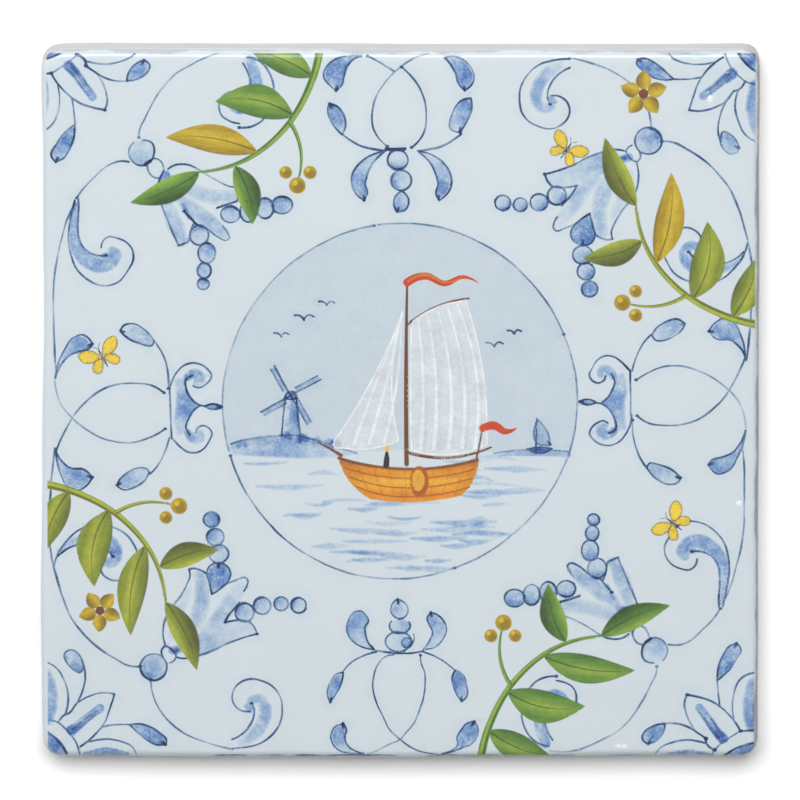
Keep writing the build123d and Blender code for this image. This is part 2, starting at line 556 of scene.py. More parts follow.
def draw_left_rosette(pen):
    """The quarter flower of the left corner, with a knotted ring, a short bud and a long one."""
    lens = [(-65.2, 62.3), (-63.9, 62.5), (-62.7, 62.8), (-61.0, 63.4), (-59.0, 64.8)]
    pen.line(lens, width=1.2, tone=0.75)
    pen.wash(np.vstack((smooth(lens), ((-60.5, 65.4), (-64.5, 65.2), (-65.3, 63.2)))), 0.65, (-62.5, 64.0),
             spread=2.2)
    pen.line([(-65.0, 60.0), (-63.2, 60.1), (-61.9, 60.2)], tone=0.7, fade=(0.6, 1.4))
    pen.line([(-61.9, 60.2), (-60.2, 61.2), (-58.4, 62.4), (-57.1, 63.7), (-56.4, 65.0)], tone=0.32,
             dots="start")
    pen.line([(-61.8, 60.2), (-60.4, 58.0), (-58.0, 55.7), (-56.0, 54.5), (-54.0, 53.9), (-52.1, 53.5)],
             tone=0.62, width=1.15, fade=(1.5, 1.0, 0.8, 1.0), dots="startend")
    pen.line([(-53.7, 60.3), (-52.5, 58.5), (-51.8, 56.5), (-51.6, 55.0), (-52.1, 53.5)], tone=0.42,
             fade=(0.6, 0.7, 1.4))
    pen.line([(-57.1, 63.7), (-56.2, 63.2), (-55.6, 62.5), (-55.5, 61.6)], tone=0.8, width=1.3,
             dots="startend")
    pen.line([(-55.5, 61.6), (-53.8, 60.4), (-52.0, 59.4), (-50.0, 58.8), (-48.0, 58.8)], tone=0.6,
             width=1.1, fade=(1.5, 0.8))
    pen.leaf(
        [(-48.0, 58.8), (-46.0, 59.2), (-44.3, 60.4), (-43.9, 61.4), (-45.0, 62.6)],
        [(-46.5, 62.0), (-47.5, 60.9), (-48.0, 59.6), (-48.0, 58.8)], fill=0.62, deep=(-46.2, 60.6),
        spread=1.8,
    )
    pen.brush([(-58.6, 61.6), (-57.2, 60.0), (-55.7, 57.8), (-54.3, 55.9)], (0.95, 0.9, 0.85, 0.8),
              (0.64, 0.48, 0.4, 0.46), hairs=5)
    pen.brush([(-58.4, 61.4), (-57.6, 60.4), (-56.8, 59.4)], (0.8, 0.8, 0.5), (0.5, 0.4, 0.15), soft=0.2,
              hairs=3)
    pen.line([(-55.2, 62.4), (-53.5, 62.0), (-51.5, 61.9), (-49.0, 62.4), (-47.2, 63.3), (-46.1, 65.0)],
             tone=0.45)
    pen.brush([(-56.8, 65.2), (-52.5, 64.6), (-47.0, 65.3)], (0.5, 0.9, 0.4), 0.6 if pen.turn < 0 else 0.1,
              soft=0.25)
    pen.line([(-60.6, 58.0), (-60.3, 55.5), (-60.6, 53.0), (-61.3, 51.2), (-62.4, 50.1), (-65.0, 49.5)],
             tone=0.45)
    pen.brush([(-63.8, 59.4), (-63.4, 56.0), (-63.8, 51.2)], (0.9, 1.1, 0.6), (0.75, 0.45, 0.4), soft=0.35)
    pen.line([(-58.0, 55.6), (-57.7, 53.0), (-57.5, 50.8), (-57.6, 49.4)], tone=0.5)
    pen.leaf(
        [(-57.6, 50.2), (-57.9, 47.8), (-58.5, 46.3), (-59.6, 44.6), (-61.0, 44.0)],
        [(-61.8, 45.2), (-60.7, 47.4), (-59.5, 49.2), (-57.6, 50.8)], fill=0.75, deep=(-59.2, 48.2),
        spread=2.6,
    )


def draw_left_bell(pen):
    """The bell flower of the left corner, wider open, with its neck, its ball and its chains of beads."""
    ball = [(-47.6, 47.2), (-48.4, 46.0), (-48.5, 45.0), (-48.0, 43.9), (-47.0, 43.1), (-46.2, 42.9),
            (-45.3, 43.2), (-44.4, 43.9), (-43.9, 45.2), (-43.9, 46.3), (-44.3, 47.1), (-45.0, 47.5),
            (-46.0, 47.6)]
    pen.line(ball, tone=0.55, fade=(0.5, 0.9, 1.0, 1.8, 1.2, 0.9))
    pen.line([(-45.5, 43.1), (-44.5, 43.8)], tone=0.95, width=1.7)
    pen.wash(smooth(ball), 0.3, (-46.3, 43.6), soft=0.2, spread=2.2)
    pen.line([(-44.2, 44.2), (-43.4, 44.2), (-42.6, 43.6), (-42.2, 42.7), (-42.1, 42.0)], tone=0.4)
    pen.line([(-45.1, 42.8), (-44.9, 41.9), (-44.2, 41.0), (-43.2, 40.7), (-42.5, 41.2)], tone=0.36)
    upper = [(-41.4, 42.3), (-40.5, 42.9), (-39.3, 43.2), (-37.7, 43.1), (-35.7, 42.1), (-33.8, 40.9),
             (-32.3, 40.1), (-30.7, 39.3), (-29.0, 39.1), (-28.4, 39.4)]
    pen.line(upper, tone=0.5, fade=(1.7, 1.3, 0.6, 0.6, 1.3))
    pen.line([(-28.3, 39.4), (-28.3, 38.5), (-28.7, 37.3), (-28.9, 36.4)], tone=0.62)
    pen.line([(-28.9, 36.4), (-30.3, 36.0), (-31.8, 35.5), (-32.5, 35.2)], tone=0.8, width=1.2)
    pen.line([(-38.4, 34.6), (-37.0, 33.0), (-36.0, 32.0), (-34.2, 31.3), (-33.3, 30.5), (-32.0, 29.6),
              (-30.9, 29.2), (-30.3, 29.6), (-30.7, 30.7), (-31.5, 31.8)], tone=0.62,
             fade=(1.5, 1.3, 1.0, 1.0, 0.4), dots="start")
    pen.line([(-42.2, 42.0), (-42.6, 41.0), (-43.2, 39.3), (-43.1, 37.3), (-42.3, 35.0), (-41.2, 32.3),
              (-40.2, 30.0), (-39.5, 28.3)], tone=0.52, fade=(1.2, 1.0, 0.9))
    pen.line([(-39.5, 28.2), (-38.3, 28.7), (-37.7, 29.0), (-37.4, 30.0), (-37.2, 31.3), (-36.7, 32.4)],
             tone=0.75)
    pen.wash(smooth([(-42.1, 42.0), (-41.3, 41.8), (-40.8, 40.2), (-41.6, 39.9), (-42.8, 40.3),
                     (-42.1, 42.0)])[:-1], 0.6, soft=0.15)
    pen.wash(smooth([(-42.0, 39.6), (-40.8, 39.4), (-39.8, 37.6), (-40.7, 37.2), (-41.5, 38.0),
                     (-42.0, 39.6)])[:-1], 0.95, (-40.9, 38.2), soft=0.2, spread=1.2)
    pen.brush([(-40.4, 38.8), (-39.4, 37.4)], (0.5, 0.4), (0.4, 0.25), soft=0.35)
    pen.brush([(-40.6, 40.2), (-37.0, 38.4), (-33.0, 37.2), (-29.6, 37.4)], (0.6, 1.1, 1.1, 0.8),
              (0.32, 0.2, 0.22, 0.26), soft=0.5)
    pen.brush([(-39.6, 37.2), (-36.6, 34.6), (-33.6, 32.4), (-31.2, 30.4)], (0.6, 1.2, 1.2, 0.8),
              (0.25, 0.3, 0.36, 0.3), soft=0.5)
    pen.brush([(-38.7, 35.8), (-37.5, 33.4)], (0.25, 0.3), (0.35, 0.55), soft=0.25)
    pen.brush([(-42.0, 38.0), (-41.0, 34.4), (-39.4, 30.6), (-38.6, 29.0)], (0.6, 1.0, 1.2, 0.7),
              (0.2, 0.26, 0.34, 0.4), soft=0.5)
    for x, y, across, up, fill in (
        (-35.7, 30.2, 1.68, 1.85, 0.3), (-34.4, 26.9, 1.55, 1.9, 0.42), (-34.8, 23.7, 1.25, 1.4, 0.4),
        (-35.0, 21.2, 1.1, 1.05, 0.5),
        (-30.1, 34.0, 1.7, 1.5, 0.34), (-26.8, 34.6, 1.5, 2.0, 0.42), (-23.8, 35.1, 1.5, 1.9, 0.3),
        (-20.7, 35.7, 1.85, 1.6, 0.5),
    ):
        pen.bead((x, y), across, fill, squash=up / across, deep=(0.0, 0.3))


def draw_left_scroll(pen):
    """The scroll under the top edge on the left, whose two loops miss each other, and the stem up to it."""
    pen.line([(-27.8, 63.7), (-25.7, 63.1), (-24.2, 61.6), (-23.3, 59.8), (-22.9, 57.8), (-23.3, 55.7),
              (-24.0, 53.6), (-25.2, 52.0), (-26.8, 51.1), (-29.2, 50.8)], tone=0.46, width=1.1,
             fade=(0.9, 1.0, 1.2), dots="end")
    pen.line([(-29.2, 51.6), (-30.9, 52.0), (-32.3, 52.9), (-32.9, 54.5), (-32.7, 55.9), (-31.6, 57.1),
              (-30.0, 57.3), (-28.7, 56.4)], tone=0.6, fade=(1.4, 1.0, 0.8, 0.9))
    pen.line([(-28.5, 62.6), (-27.7, 61.1), (-27.2, 59.5), (-27.3, 57.8), (-27.9, 56.6), (-28.8, 55.8)],
             tone=0.55, width=1.2)
    pen.brush([(-27.3, 63.2), (-26.5, 61.0), (-26.2, 58.6), (-26.6, 56.4), (-27.8, 54.7), (-29.6, 54.2),
               (-30.9, 55.0)], (0.8, 1.0, 1.05, 1.1, 1.1, 0.9, 0.5), (0.5, 0.45, 0.5, 0.5, 0.6, 0.7, 0.5),
              soft=0.25)
    pen.line([(-47.4, 49.0), (-47.3, 50.4), (-46.4, 52.3), (-45.0, 55.1), (-43.2, 57.9), (-40.4, 60.9),
              (-38.2, 62.2), (-35.3, 63.6), (-33.0, 64.4), (-28.0, 64.5)], tone=0.27,
             fade=(1.3, 0.9, 1.0, 0.7), dots="start")


def draw_side_scroll(pen):
    """A stem from the left ball that parts into a broad scroll and a thin line down the side."""
    pen.line([(-49.2, 44.5), (-51.0, 44.6), (-53.3, 43.7), (-55.4, 41.8), (-57.3, 39.8), (-58.6, 37.9)],
             tone=0.38, fade=(1.5, 0.7, 0.9), dots="end")
    pen.line([(-59.0, 37.5), (-59.8, 33.9), (-60.2, 30.6), (-59.8, 27.6), (-58.9, 25.2), (-57.3, 23.4),
              (-55.4, 22.2), (-53.3, 21.8), (-51.2, 22.4), (-49.6, 24.3), (-48.4, 26.9), (-48.7, 28.5),
              (-49.9, 29.9), (-51.5, 30.6), (-52.9, 30.8), (-53.8, 30.2), (-54.3, 28.8)], tone=0.56,
             fade=(1.2, 0.9, 1.0, 1.3, 0.8))
    pen.line([(-58.4, 37.7), (-58.3, 35.4), (-58.4, 33.7), (-58.3, 30.6), (-57.5, 28.8), (-56.1, 27.7),
              (-54.5, 27.3), (-53.4, 27.4)], tone=0.55, dots="end")
    pen.brush([(-58.9, 37.0), (-59.2, 33.0), (-58.9, 29.5), (-57.2, 26.8), (-54.6, 25.5), (-52.3, 26.0),
               (-51.4, 27.5), (-52.2, 28.3)], (0.2, 0.65, 0.8, 1.0, 1.25, 1.3, 0.9, 0.7),
              (0.5, 0.4, 0.46, 0.5, 0.5, 0.6, 0.55, 0.4), soft=0.25)
    pen.brush([(-53.6, 27.3), (-52.6, 27.2)], (0.5, 0.4), 0.5, soft=0.3)
    pen.line([(-59.5, 36.0), (-60.4, 33.9), (-61.4, 30.4), (-62.3, 26.6), (-62.8, 22.9), (-62.9, 17.2),
              (-62.8, 11.4), (-62.5, 6.7)], tone=0.34)


def draw_edge_scroll(pen):
    """A long line from the ball that sweeps out to the side edge, with a scroll curling back off it."""
    pen.line([(47.3, 48.3), (49.4, 48.1), (52.2, 46.6), (55.0, 44.8), (57.5, 42.4), (59.6, 39.6),
              (61.0, 36.5), (62.1, 33.2), (63.0, 29.8), (63.6, 26.2), (63.8, 22.6), (63.6, 17.5),
              (63.2, 12.5), (62.7, 8.1)], tone=0.45, width=1.15, dots="start")
    pen.line([(62.8, 29.6), (61.9, 26.9), (60.5, 25.0), (58.4, 23.1), (56.1, 22.2), (53.8, 22.2),
              (51.5, 22.9), (49.4, 24.3), (48.2, 26.2), (47.6, 28.5), (48.3, 30.4), (50.2, 32.2),
              (52.4, 32.4), (54.0, 31.4), (54.7, 29.6)], tone=0.5)
    pen.line([(62.2, 28.0), (60.1, 26.4), (57.7, 25.7), (55.7, 25.6), (53.8, 26.5), (52.2, 28.0)], tone=0.55,
             dots="end")
    pen.brush([(62.0, 27.0), (60.0, 25.6), (57.5, 24.7), (54.8, 24.6), (52.4, 25.8), (51.6, 27.8),
               (52.6, 29.2), (54.0, 28.6)], (0.3, 0.5, 0.7, 0.9, 1.1, 1.2, 0.9, 0.6),
              (0.3, 0.3, 0.35, 0.4, 0.55, 0.7, 0.65, 0.4), soft=0.3)


def draw_top_middle(pen):
    """The middle of the top side: a crossed loop, three beads and pairs of drops, buds and leaves."""
    pen.line([(-6.0, 63.9), (-4.6, 63.2), (-3.0, 62.3), (-1.2, 61.2)], tone=0.45, dots="start")
    pen.line([(0.2, 61.9), (1.8, 60.3), (3.5, 58.0), (4.4, 55.6), (4.7, 52.8), (4.3, 50.2), (3.3, 48.4),
              (2.0, 47.2)], tone=0.6, dots="startend")
    pen.line([(5.2, 64.4), (3.2, 63.8), (0.7, 62.5), (-1.0, 61.1), (-2.8, 59.1), (-4.2, 56.9), (-5.0, 54.4),
              (-5.2, 52.3), (-4.7, 50.0), (-3.7, 48.5), (-2.4, 47.4)], tone=0.42, fade=(0.4, 1.5),
             dots="end")
    pen.line([(-2.6, 46.9), (-1.0, 46.8), (0.8, 46.9)], width=1.7, tone=0.9)
    pen.bead((-0.5, 44.9), 1.85, fill=0.3, tone=0.75, deep=(0.0, -0.9))
    pen.bead((0.1, 41.1), 1.85, fill=0.36, deep=(-0.7, 0.0))
    pen.leaf(
        [(0.2, 39.2), (-0.9, 38.2), (-1.2, 36.8), (-0.6, 35.4)],
        [(1.0, 35.9), (1.5, 37.2), (0.2, 39.2)], fill=0.5, deep=(-0.3, 36.2), tone=0.7,
    )
    pen.leaf(
        [(10.8, 49.9), (9.0, 50.6), (9.2, 53.0), (11.0, 55.7), (12.7, 56.2)],
        [(12.9, 54.3), (12.2, 52.4), (10.8, 49.9)], fill=0.7, deep=(12.0, 54.4), spread=2.4, tip=1,
    )
    pen.leaf(
        [(-7.0, 63.9), (-8.8, 63.1), (-9.7, 61.8), (-10.2, 60.0), (-10.5, 58.8), (-11.7, 57.6)],
        [(-12.9, 58.6), (-13.9, 60.3), (-13.4, 61.9), (-11.8, 63.3), (-9.7, 63.9), (-7.0, 63.9)],
        fill=0.8, deep=(-11.5, 61.3), spread=2.6,
    )
    pen.leaf(
        [(8.0, 63.6), (9.3, 62.0), (10.1, 60.4), (10.4, 59.0), (11.6, 57.6)],
        [(13.0, 58.8), (13.3, 60.2), (12.7, 61.8), (11.3, 63.2), (9.6, 63.8), (8.0, 63.6)],
        fill=0.8, deep=(11.8, 60.4), spread=2.3,
    )
    for mirror in (False, True):
        twin = Pen(pen.painting, mirror=mirror, shift=(0.4 if mirror else 0.0, 0.0))
        twin.line([(-2.7, 46.6), (-4.6, 46.8), (-6.9, 47.3), (-9.0, 48.4), (-10.6, 49.6)], tone=0.5,
                  width=1.2)
        if not mirror:
            twin.leaf(
                [(-10.6, 49.5), (-12.5, 51.8), (-13.2, 54.2), (-12.9, 55.2)],
                [(-11.8, 54.9), (-10.4, 53.5), (-9.9, 51.3), (-10.6, 49.5)],
                fill=0.7, deep=(-12.0, 53.8), spread=2.2,
            )
        twin.leaf(
            [(-3.0, 46.4), (-5.5, 45.7), (-7.6, 44.1), (-8.8, 41.9), (-8.8, 40.3), (-7.9, 38.5),
             (-6.6, 37.5)],
            [(-6.0, 38.9), (-6.4, 40.3), (-6.0, 42.2), (-5.1, 44.1), (-3.0, 46.2)],
            fill=0.6, deep=(-7.0, 39.4), spread=3.2, tone=0.7,
        )
        twin.line([(-7.0, 64.6), (-12.0, 65.2), (-19.0, 65.4)], tone=0.4)


def draw_side_middle(pen):
    """The middle of a side, drawn on the right: a lying loop, drops, buds and a bracket of two scrolls."""
    pen.line([(62.5, -8.6), (61.4, -6.0), (60.0, -3.2), (58.4, -0.9), (56.1, 1.3), (53.3, 3.1), (50.6, 3.8),
              (48.0, 3.9), (45.0, 3.4), (42.9, 2.1)], tone=0.46, dots="end")
    pen.line([(62.7, 4.3), (62.3, 2.0), (61.4, -0.4), (59.9, -2.2), (56.6, -4.9), (53.8, -6.3), (51.0, -7.0),
              (48.2, -7.0), (45.5, -6.1), (42.7, -4.5)], tone=0.4, fade=(0.35, 1.3), dots="end")
    pen.leaf(
        [(62.6, 4.8), (62.2, 7.1), (61.0, 10.0), (59.6, 12.1), (57.7, 12.8), (55.9, 11.1)],
        [(56.6, 10.2), (58.4, 9.7), (60.3, 8.8), (61.4, 7.4), (62.6, 4.8)],
        fill=0.62, deep=(57.6, 11.0), spread=2.6,
    )
    pen.leaf(
        [(62.5, -8.6), (61.2, -10.8), (59.6, -11.8), (57.7, -11.9), (55.9, -13.4)],
        [(56.8, -14.8), (58.4, -15.8), (60.3, -15.2), (61.6, -12.9), (62.5, -8.6)],
        fill=0.62, deep=(58.6, -13.0), spread=2.6,
    )
    pen.leaf(
        [(44.7, 11.7), (46.4, 13.7), (48.7, 14.8), (50.3, 14.4), (50.8, 13.5)],
        [(49.6, 12.3), (47.3, 11.2), (45.0, 10.9), (44.7, 11.7)], fill=0.4, deep=(46.5, 12.2), spread=2.0,
    )
    pen.line([(44.6, 11.6), (43.4, 9.7), (42.5, 7.4), (42.1, 5.0), (42.1, 2.9)], tone=0.5, dots="end")
    pen.leaf(
        [(45.6, -12.6), (46.2, -11.8), (47.6, -11.7), (49.6, -12.6), (51.2, -14.1), (51.5, -14.9)],
        [(50.3, -15.7), (48.2, -15.2), (46.2, -13.8), (45.6, -12.6)], fill=0.38, deep=(49.8, -14.2),
        spread=2.0,
    )
    pen.line([(45.4, -12.8), (43.6, -10.5), (42.6, -8.2), (42.0, -6.2)], tone=0.5)
    pen.line([(41.8, 2.0), (41.7, -2.0), (41.6, -6.2)], tone=0.45)
    pen.line([(41.9, 2.0), (41.7, 3.6), (40.9, 5.5), (39.5, 7.0), (37.6, 7.6), (36.0, 7.2), (34.8, 6.2),
              (34.3, 5.4), (34.6, 4.4), (35.5, 3.5), (36.7, 3.0), (37.6, 3.4)], tone=0.6)
    pen.line([(41.6, -6.2), (41.0, -6.8), (39.9, -7.9), (38.5, -8.8), (37.2, -8.9), (35.8, -8.2),
              (34.8, -6.8), (34.2, -5.3), (34.8, -4.3), (36.0, -3.9), (36.9, -4.4), (37.2, -5.2)], tone=0.6)
    pen.line([(37.8, 5.3), (39.0, 4.5), (38.9, 2.9), (38.1, 1.3), (36.9, 0.1), (35.5, -0.3)], tone=0.75)
    pen.line([(36.2, -0.2), (37.4, -1.0), (38.3, -2.4), (38.9, -4.2), (38.2, -5.6)], tone=0.7)
    pen.wash(smooth([(41.0, 4.6), (38.9, 4.4), (38.8, 2.9), (38.0, 1.2), (36.6, -0.2), (38.1, -1.9),
                     (38.8, -4.2), (40.2, -5.8), (41.0, -3.0), (40.6, 0.0), (41.0, 4.6)])[:-1], 0.5,
             (38.8, -0.3), soft=0.3, spread=3.0)
    pen.brush([(38.6, 5.0), (37.4, 5.6), (36.3, 4.8), (37.0, 4.0)], (0.6, 0.8, 0.8, 0.5),
              (0.7, 0.6, 0.5, 0.4), soft=0.3)
    pen.brush([(38.6, -5.2), (37.6, -6.3), (36.4, -6.4), (36.3, -5.3)], (0.6, 0.8, 0.7, 0.5),
              (0.6, 0.45, 0.35, 0.3), soft=0.3)
    pen.leaf([(35.5, -0.3), (34.1, 0.1), (32.4, -0.5)], [(34.1, -0.9), (35.5, -0.3)], fill=0.7, tone=0.8)


def draw_bottom_middle(pen):
    """The middle of the bottom side: beads, a crossed loop, pairs of leaves, buds and drops, and an edge."""
    pen.leaf(
        [(-0.3, -39.5), (-1.7, -38.4), (-1.6, -37.0), (-0.5, -35.9)],
        [(0.9, -36.6), (1.4, -38.0), (0.8, -39.1), (-0.3, -39.5)],
        fill=0.3, deep=(-0.9, -37.3), tone=0.7, width=0.9,
    )
    for centre, radius, start, turn, fill in (
        ((-0.1, -40.8), 1.9, 2.5, 4.3, 0.34), ((-0.35, -43.7), 2.4, 0.9, 6.5, 0.2),
    ):
        pen.draw(ring_points(centre, radius, start, turn, 0.76), tone=0.66, width=0.9)
        pen.wash(ring_points(centre, 0.92 * radius, 0.0, tau, 0.76)[:-1], fill, np.add(centre, (0.9, -0.2)),
                 spread=1.2)
    pen.bead((1.15, -43.9), 0.95, fill=0.75, tone=0.7)
    pen.line([(2.4, -42.3), (2.5, -43.2), (2.1, -44.1)], tone=0.6, width=0.8)
    leaves = (
        ([(-7.1, -38.1), (-8.5, -38.3), (-9.5, -39.8), (-9.8, -41.4), (-9.0, -43.3), (-7.1, -44.6),
          (-4.9, -45.1)],
         [(-5.8, -44.0), (-6.3, -42.3), (-6.4, -41.0), (-5.8, -40.0), (-6.2, -38.9), (-7.1, -38.1)],
         0.52, (-8.3, -40.0), 2.6),
        ([(4.2, -45.1), (5.3, -43.5), (5.8, -41.9), (5.1, -40.5), (4.8, -39.5), (5.5, -38.3)],
         [(6.7, -38.7), (7.9, -40.0), (8.3, -41.4), (7.8, -43.0), (6.7, -44.4), (4.2, -45.1)],
         0.48, (6.2, -40.4), 1.8),
        ([(-10.4, -49.4), (-11.9, -49.9), (-13.0, -51.8), (-13.3, -53.4), (-12.8, -54.9)],
         [(-11.7, -53.4), (-10.8, -51.6), (-10.4, -49.4)], 0.6, (-12.2, -51.5), 2.2),
        ([(9.9, -49.0), (9.3, -50.4), (9.6, -52.0), (10.2, -53.5), (11.1, -54.7)],
         [(12.0, -53.9), (12.0, -51.8), (11.4, -49.9), (9.9, -49.0)], 0.78, (10.6, -50.6), 2.2),
        ([(-6.7, -64.4), (-8.3, -63.9), (-9.7, -62.8), (-10.1, -61.2), (-9.8, -60.1), (-10.4, -58.8)],
         [(-11.9, -59.4), (-12.7, -61.0), (-12.3, -62.6), (-11.0, -63.8), (-9.2, -64.3), (-6.7, -64.5)],
         0.62, (-11.5, -60.8), 1.9),
        ([(7.6, -64.5), (9.2, -63.8), (10.4, -62.8), (10.2, -61.5), (11.0, -59.9), (12.1, -58.7),
          (13.4, -58.5)],
         [(14.1, -59.9), (13.8, -61.2), (12.8, -62.6), (11.2, -63.3), (8.9, -64.2), (7.6, -64.5)],
         0.72, (12.6, -60.2), 2.0),
    )
    for first, second, fill, deep, spread in leaves:
        pen.leaf(first, second, fill=fill, deep=deep, spread=spread, tone=0.66, width=0.85)
    for stem in (
        [(-4.4, -45.6), (-6.5, -46.2), (-8.7, -47.4), (-10.4, -49.2)],
        [(4.0, -45.6), (5.8, -46.2), (7.8, -47.3), (9.8, -48.9)],
    ):
        pen.line(stem, tone=0.5, width=0.9)
    pen.line([(-4.6, -45.3), (-2.4, -45.7), (0.2, -45.9), (2.4, -45.8), (4.2, -45.3)], tone=0.6,
             fade=(0.8, 1.2, 1.3, 0.9))
    pen.line([(-1.3, -46.1), (-2.8, -46.5), (-4.2, -48.1), (-4.9, -50.4), (-5.0, -52.5), (-4.4, -55.0),
              (-3.3, -57.3), (-2.2, -59.6), (-0.1, -61.7), (1.7, -63.1), (4.0, -64.1), (6.7, -64.5)],
             tone=0.58, width=0.8, fade=(1.0, 1.0, 1.1, 1.2, 1.0, 0.6))
    pen.line([(3.6, -46.2), (3.7, -47.6), (4.4, -49.5), (4.5, -51.6), (4.2, -53.9), (3.5, -56.2),
              (2.4, -58.7), (1.0, -60.5), (-0.1, -61.8), (-1.9, -62.6), (-4.2, -63.8), (-6.0, -64.4)],
             tone=0.56, width=0.8, fade=(1.2, 1.0, 1.0, 0.9, 0.45, 0.35), dots="start")
    for start, end, tone in (
        (-34.3, -27.5, 0.5), (-27.5, -20.5, 0.25), (-20.5, -14.0, 0.5), (-14.5, -7.0, 0.45),
        (-8.0, -0.5, 0.55), (5.0, 12.0, 0.5), (11.0, 20.0, 0.45), (20.5, 32.0, 0.35), (36.5, 46.0, 0.28),
    ):
        middle = (start + end) / 2
        pen.line([(start, -64.9), (middle, -64.72), (end, -64.85)], tone=tone, fade=(0.3, 1.2, 1.1, 0.3))


# What each half of the border holds, and how far the hand set it off in the upper and in the lower half
HALF_BORDER = (
    (draw_rosette, (0.0, 0.0), (-0.2, -0.65)),
    (draw_bell, (0.0, 0.0), (0.0, 0.0)),
    (draw_top_scroll, (0.0, 0.0), (0.0, 0.0)),
    (draw_edge_scroll, (0.0, 0.0), (0.0, 0.0)),
    (draw_left_rosette, (-1.45, 0.55), (0.0, 0.0)),
    (draw_left_bell, (-0.75, 0.9), (0.0, 0.0)),
    (draw_left_scroll, (0.0, 0.0), (0.9, -0.7)),
    (draw_side_scroll, (0.0, 0.0), (0.5, -0.3)),
)


def draw_border(painting):
    """The whole border: two corners and two sides, and the same turned round, with another middle."""
    for turn, draw_middle in ((False, draw_top_middle), (True, draw_bottom_middle)):
        for draw, upper, lower in HALF_BORDER:
            draw(Pen(painting, turn=turn, shift=lower if turn else upper))
        draw_middle(Pen(painting))
        draw_side_middle(Pen(painting, mirror=True, turn=turn))


ROUNDEL, ROUNDEL_RADIUS = (0.1, 0.4), 32.35
# Waves of the roundel's line: how many go round, their height and where they peak
ROUNDEL_WAVES = ((1, 0.32, 2.8), (2, 0.39, 2.3), (3, 0.12, -0.7), (4, 0.11, -0.6))
WATERLINE = -8.6  # how far below its middle the sky of the roundel ends
SKY_TONE = 0.045
MILL_HUB = np.array((-19.9, 1.6))


def roundel_points(start, turn):
    """Points of the roundel's line: a circle that the hand drew out and in by four slow waves round it."""
    angle = start + np.linspace(0.0, turn, int(turn * ROUNDEL_RADIUS / ROW_STEP))
    radius = ROUNDEL_RADIUS + sum(high * np.cos(n * angle - peak) for n, high, peak in ROUNDEL_WAVES)
    return ROUNDEL + radius[:, None] * np.column_stack((np.cos(angle), np.sin(angle)))


def draw_roundel(painting):
    """The thin ring round the picture, drawn in four strokes, and the pale sky down to the waterline."""
    pen = Pen(painting)
    for start, turn, tone, fade in (
        (0.4, 1.3, 0.4, (1.2, 1.0, 1.0, 0.9)), (1.72, 1.7, 0.28, (1.5, 0.8, 0.6, 1.2)),
        (3.45, 1.6, 0.33, (1.2, 1.5, 0.7, 0.9)), (5.02, 1.68, 0.3, (1.2, 0.7, 1.3, 0.8)),
    ):
        pen.draw(roundel_points(start, turn), tone=tone, fade=fade, dots="start")
    low = np.arcsin(WATERLINE / ROUNDEL_RADIUS)
    sky = roundel_points(low, tau / 2 - 2 * low)
    shore = smooth([sky[-1], (-20.0, -7.4), (-8.0, -8.6), (6.0, -8.2), (20.0, -8.9), sky[0]])[1:-1]
    painting.lines.append(Patch(np.vstack((sky, shore)), SKY_TONE, 0.12, pool=0.0))


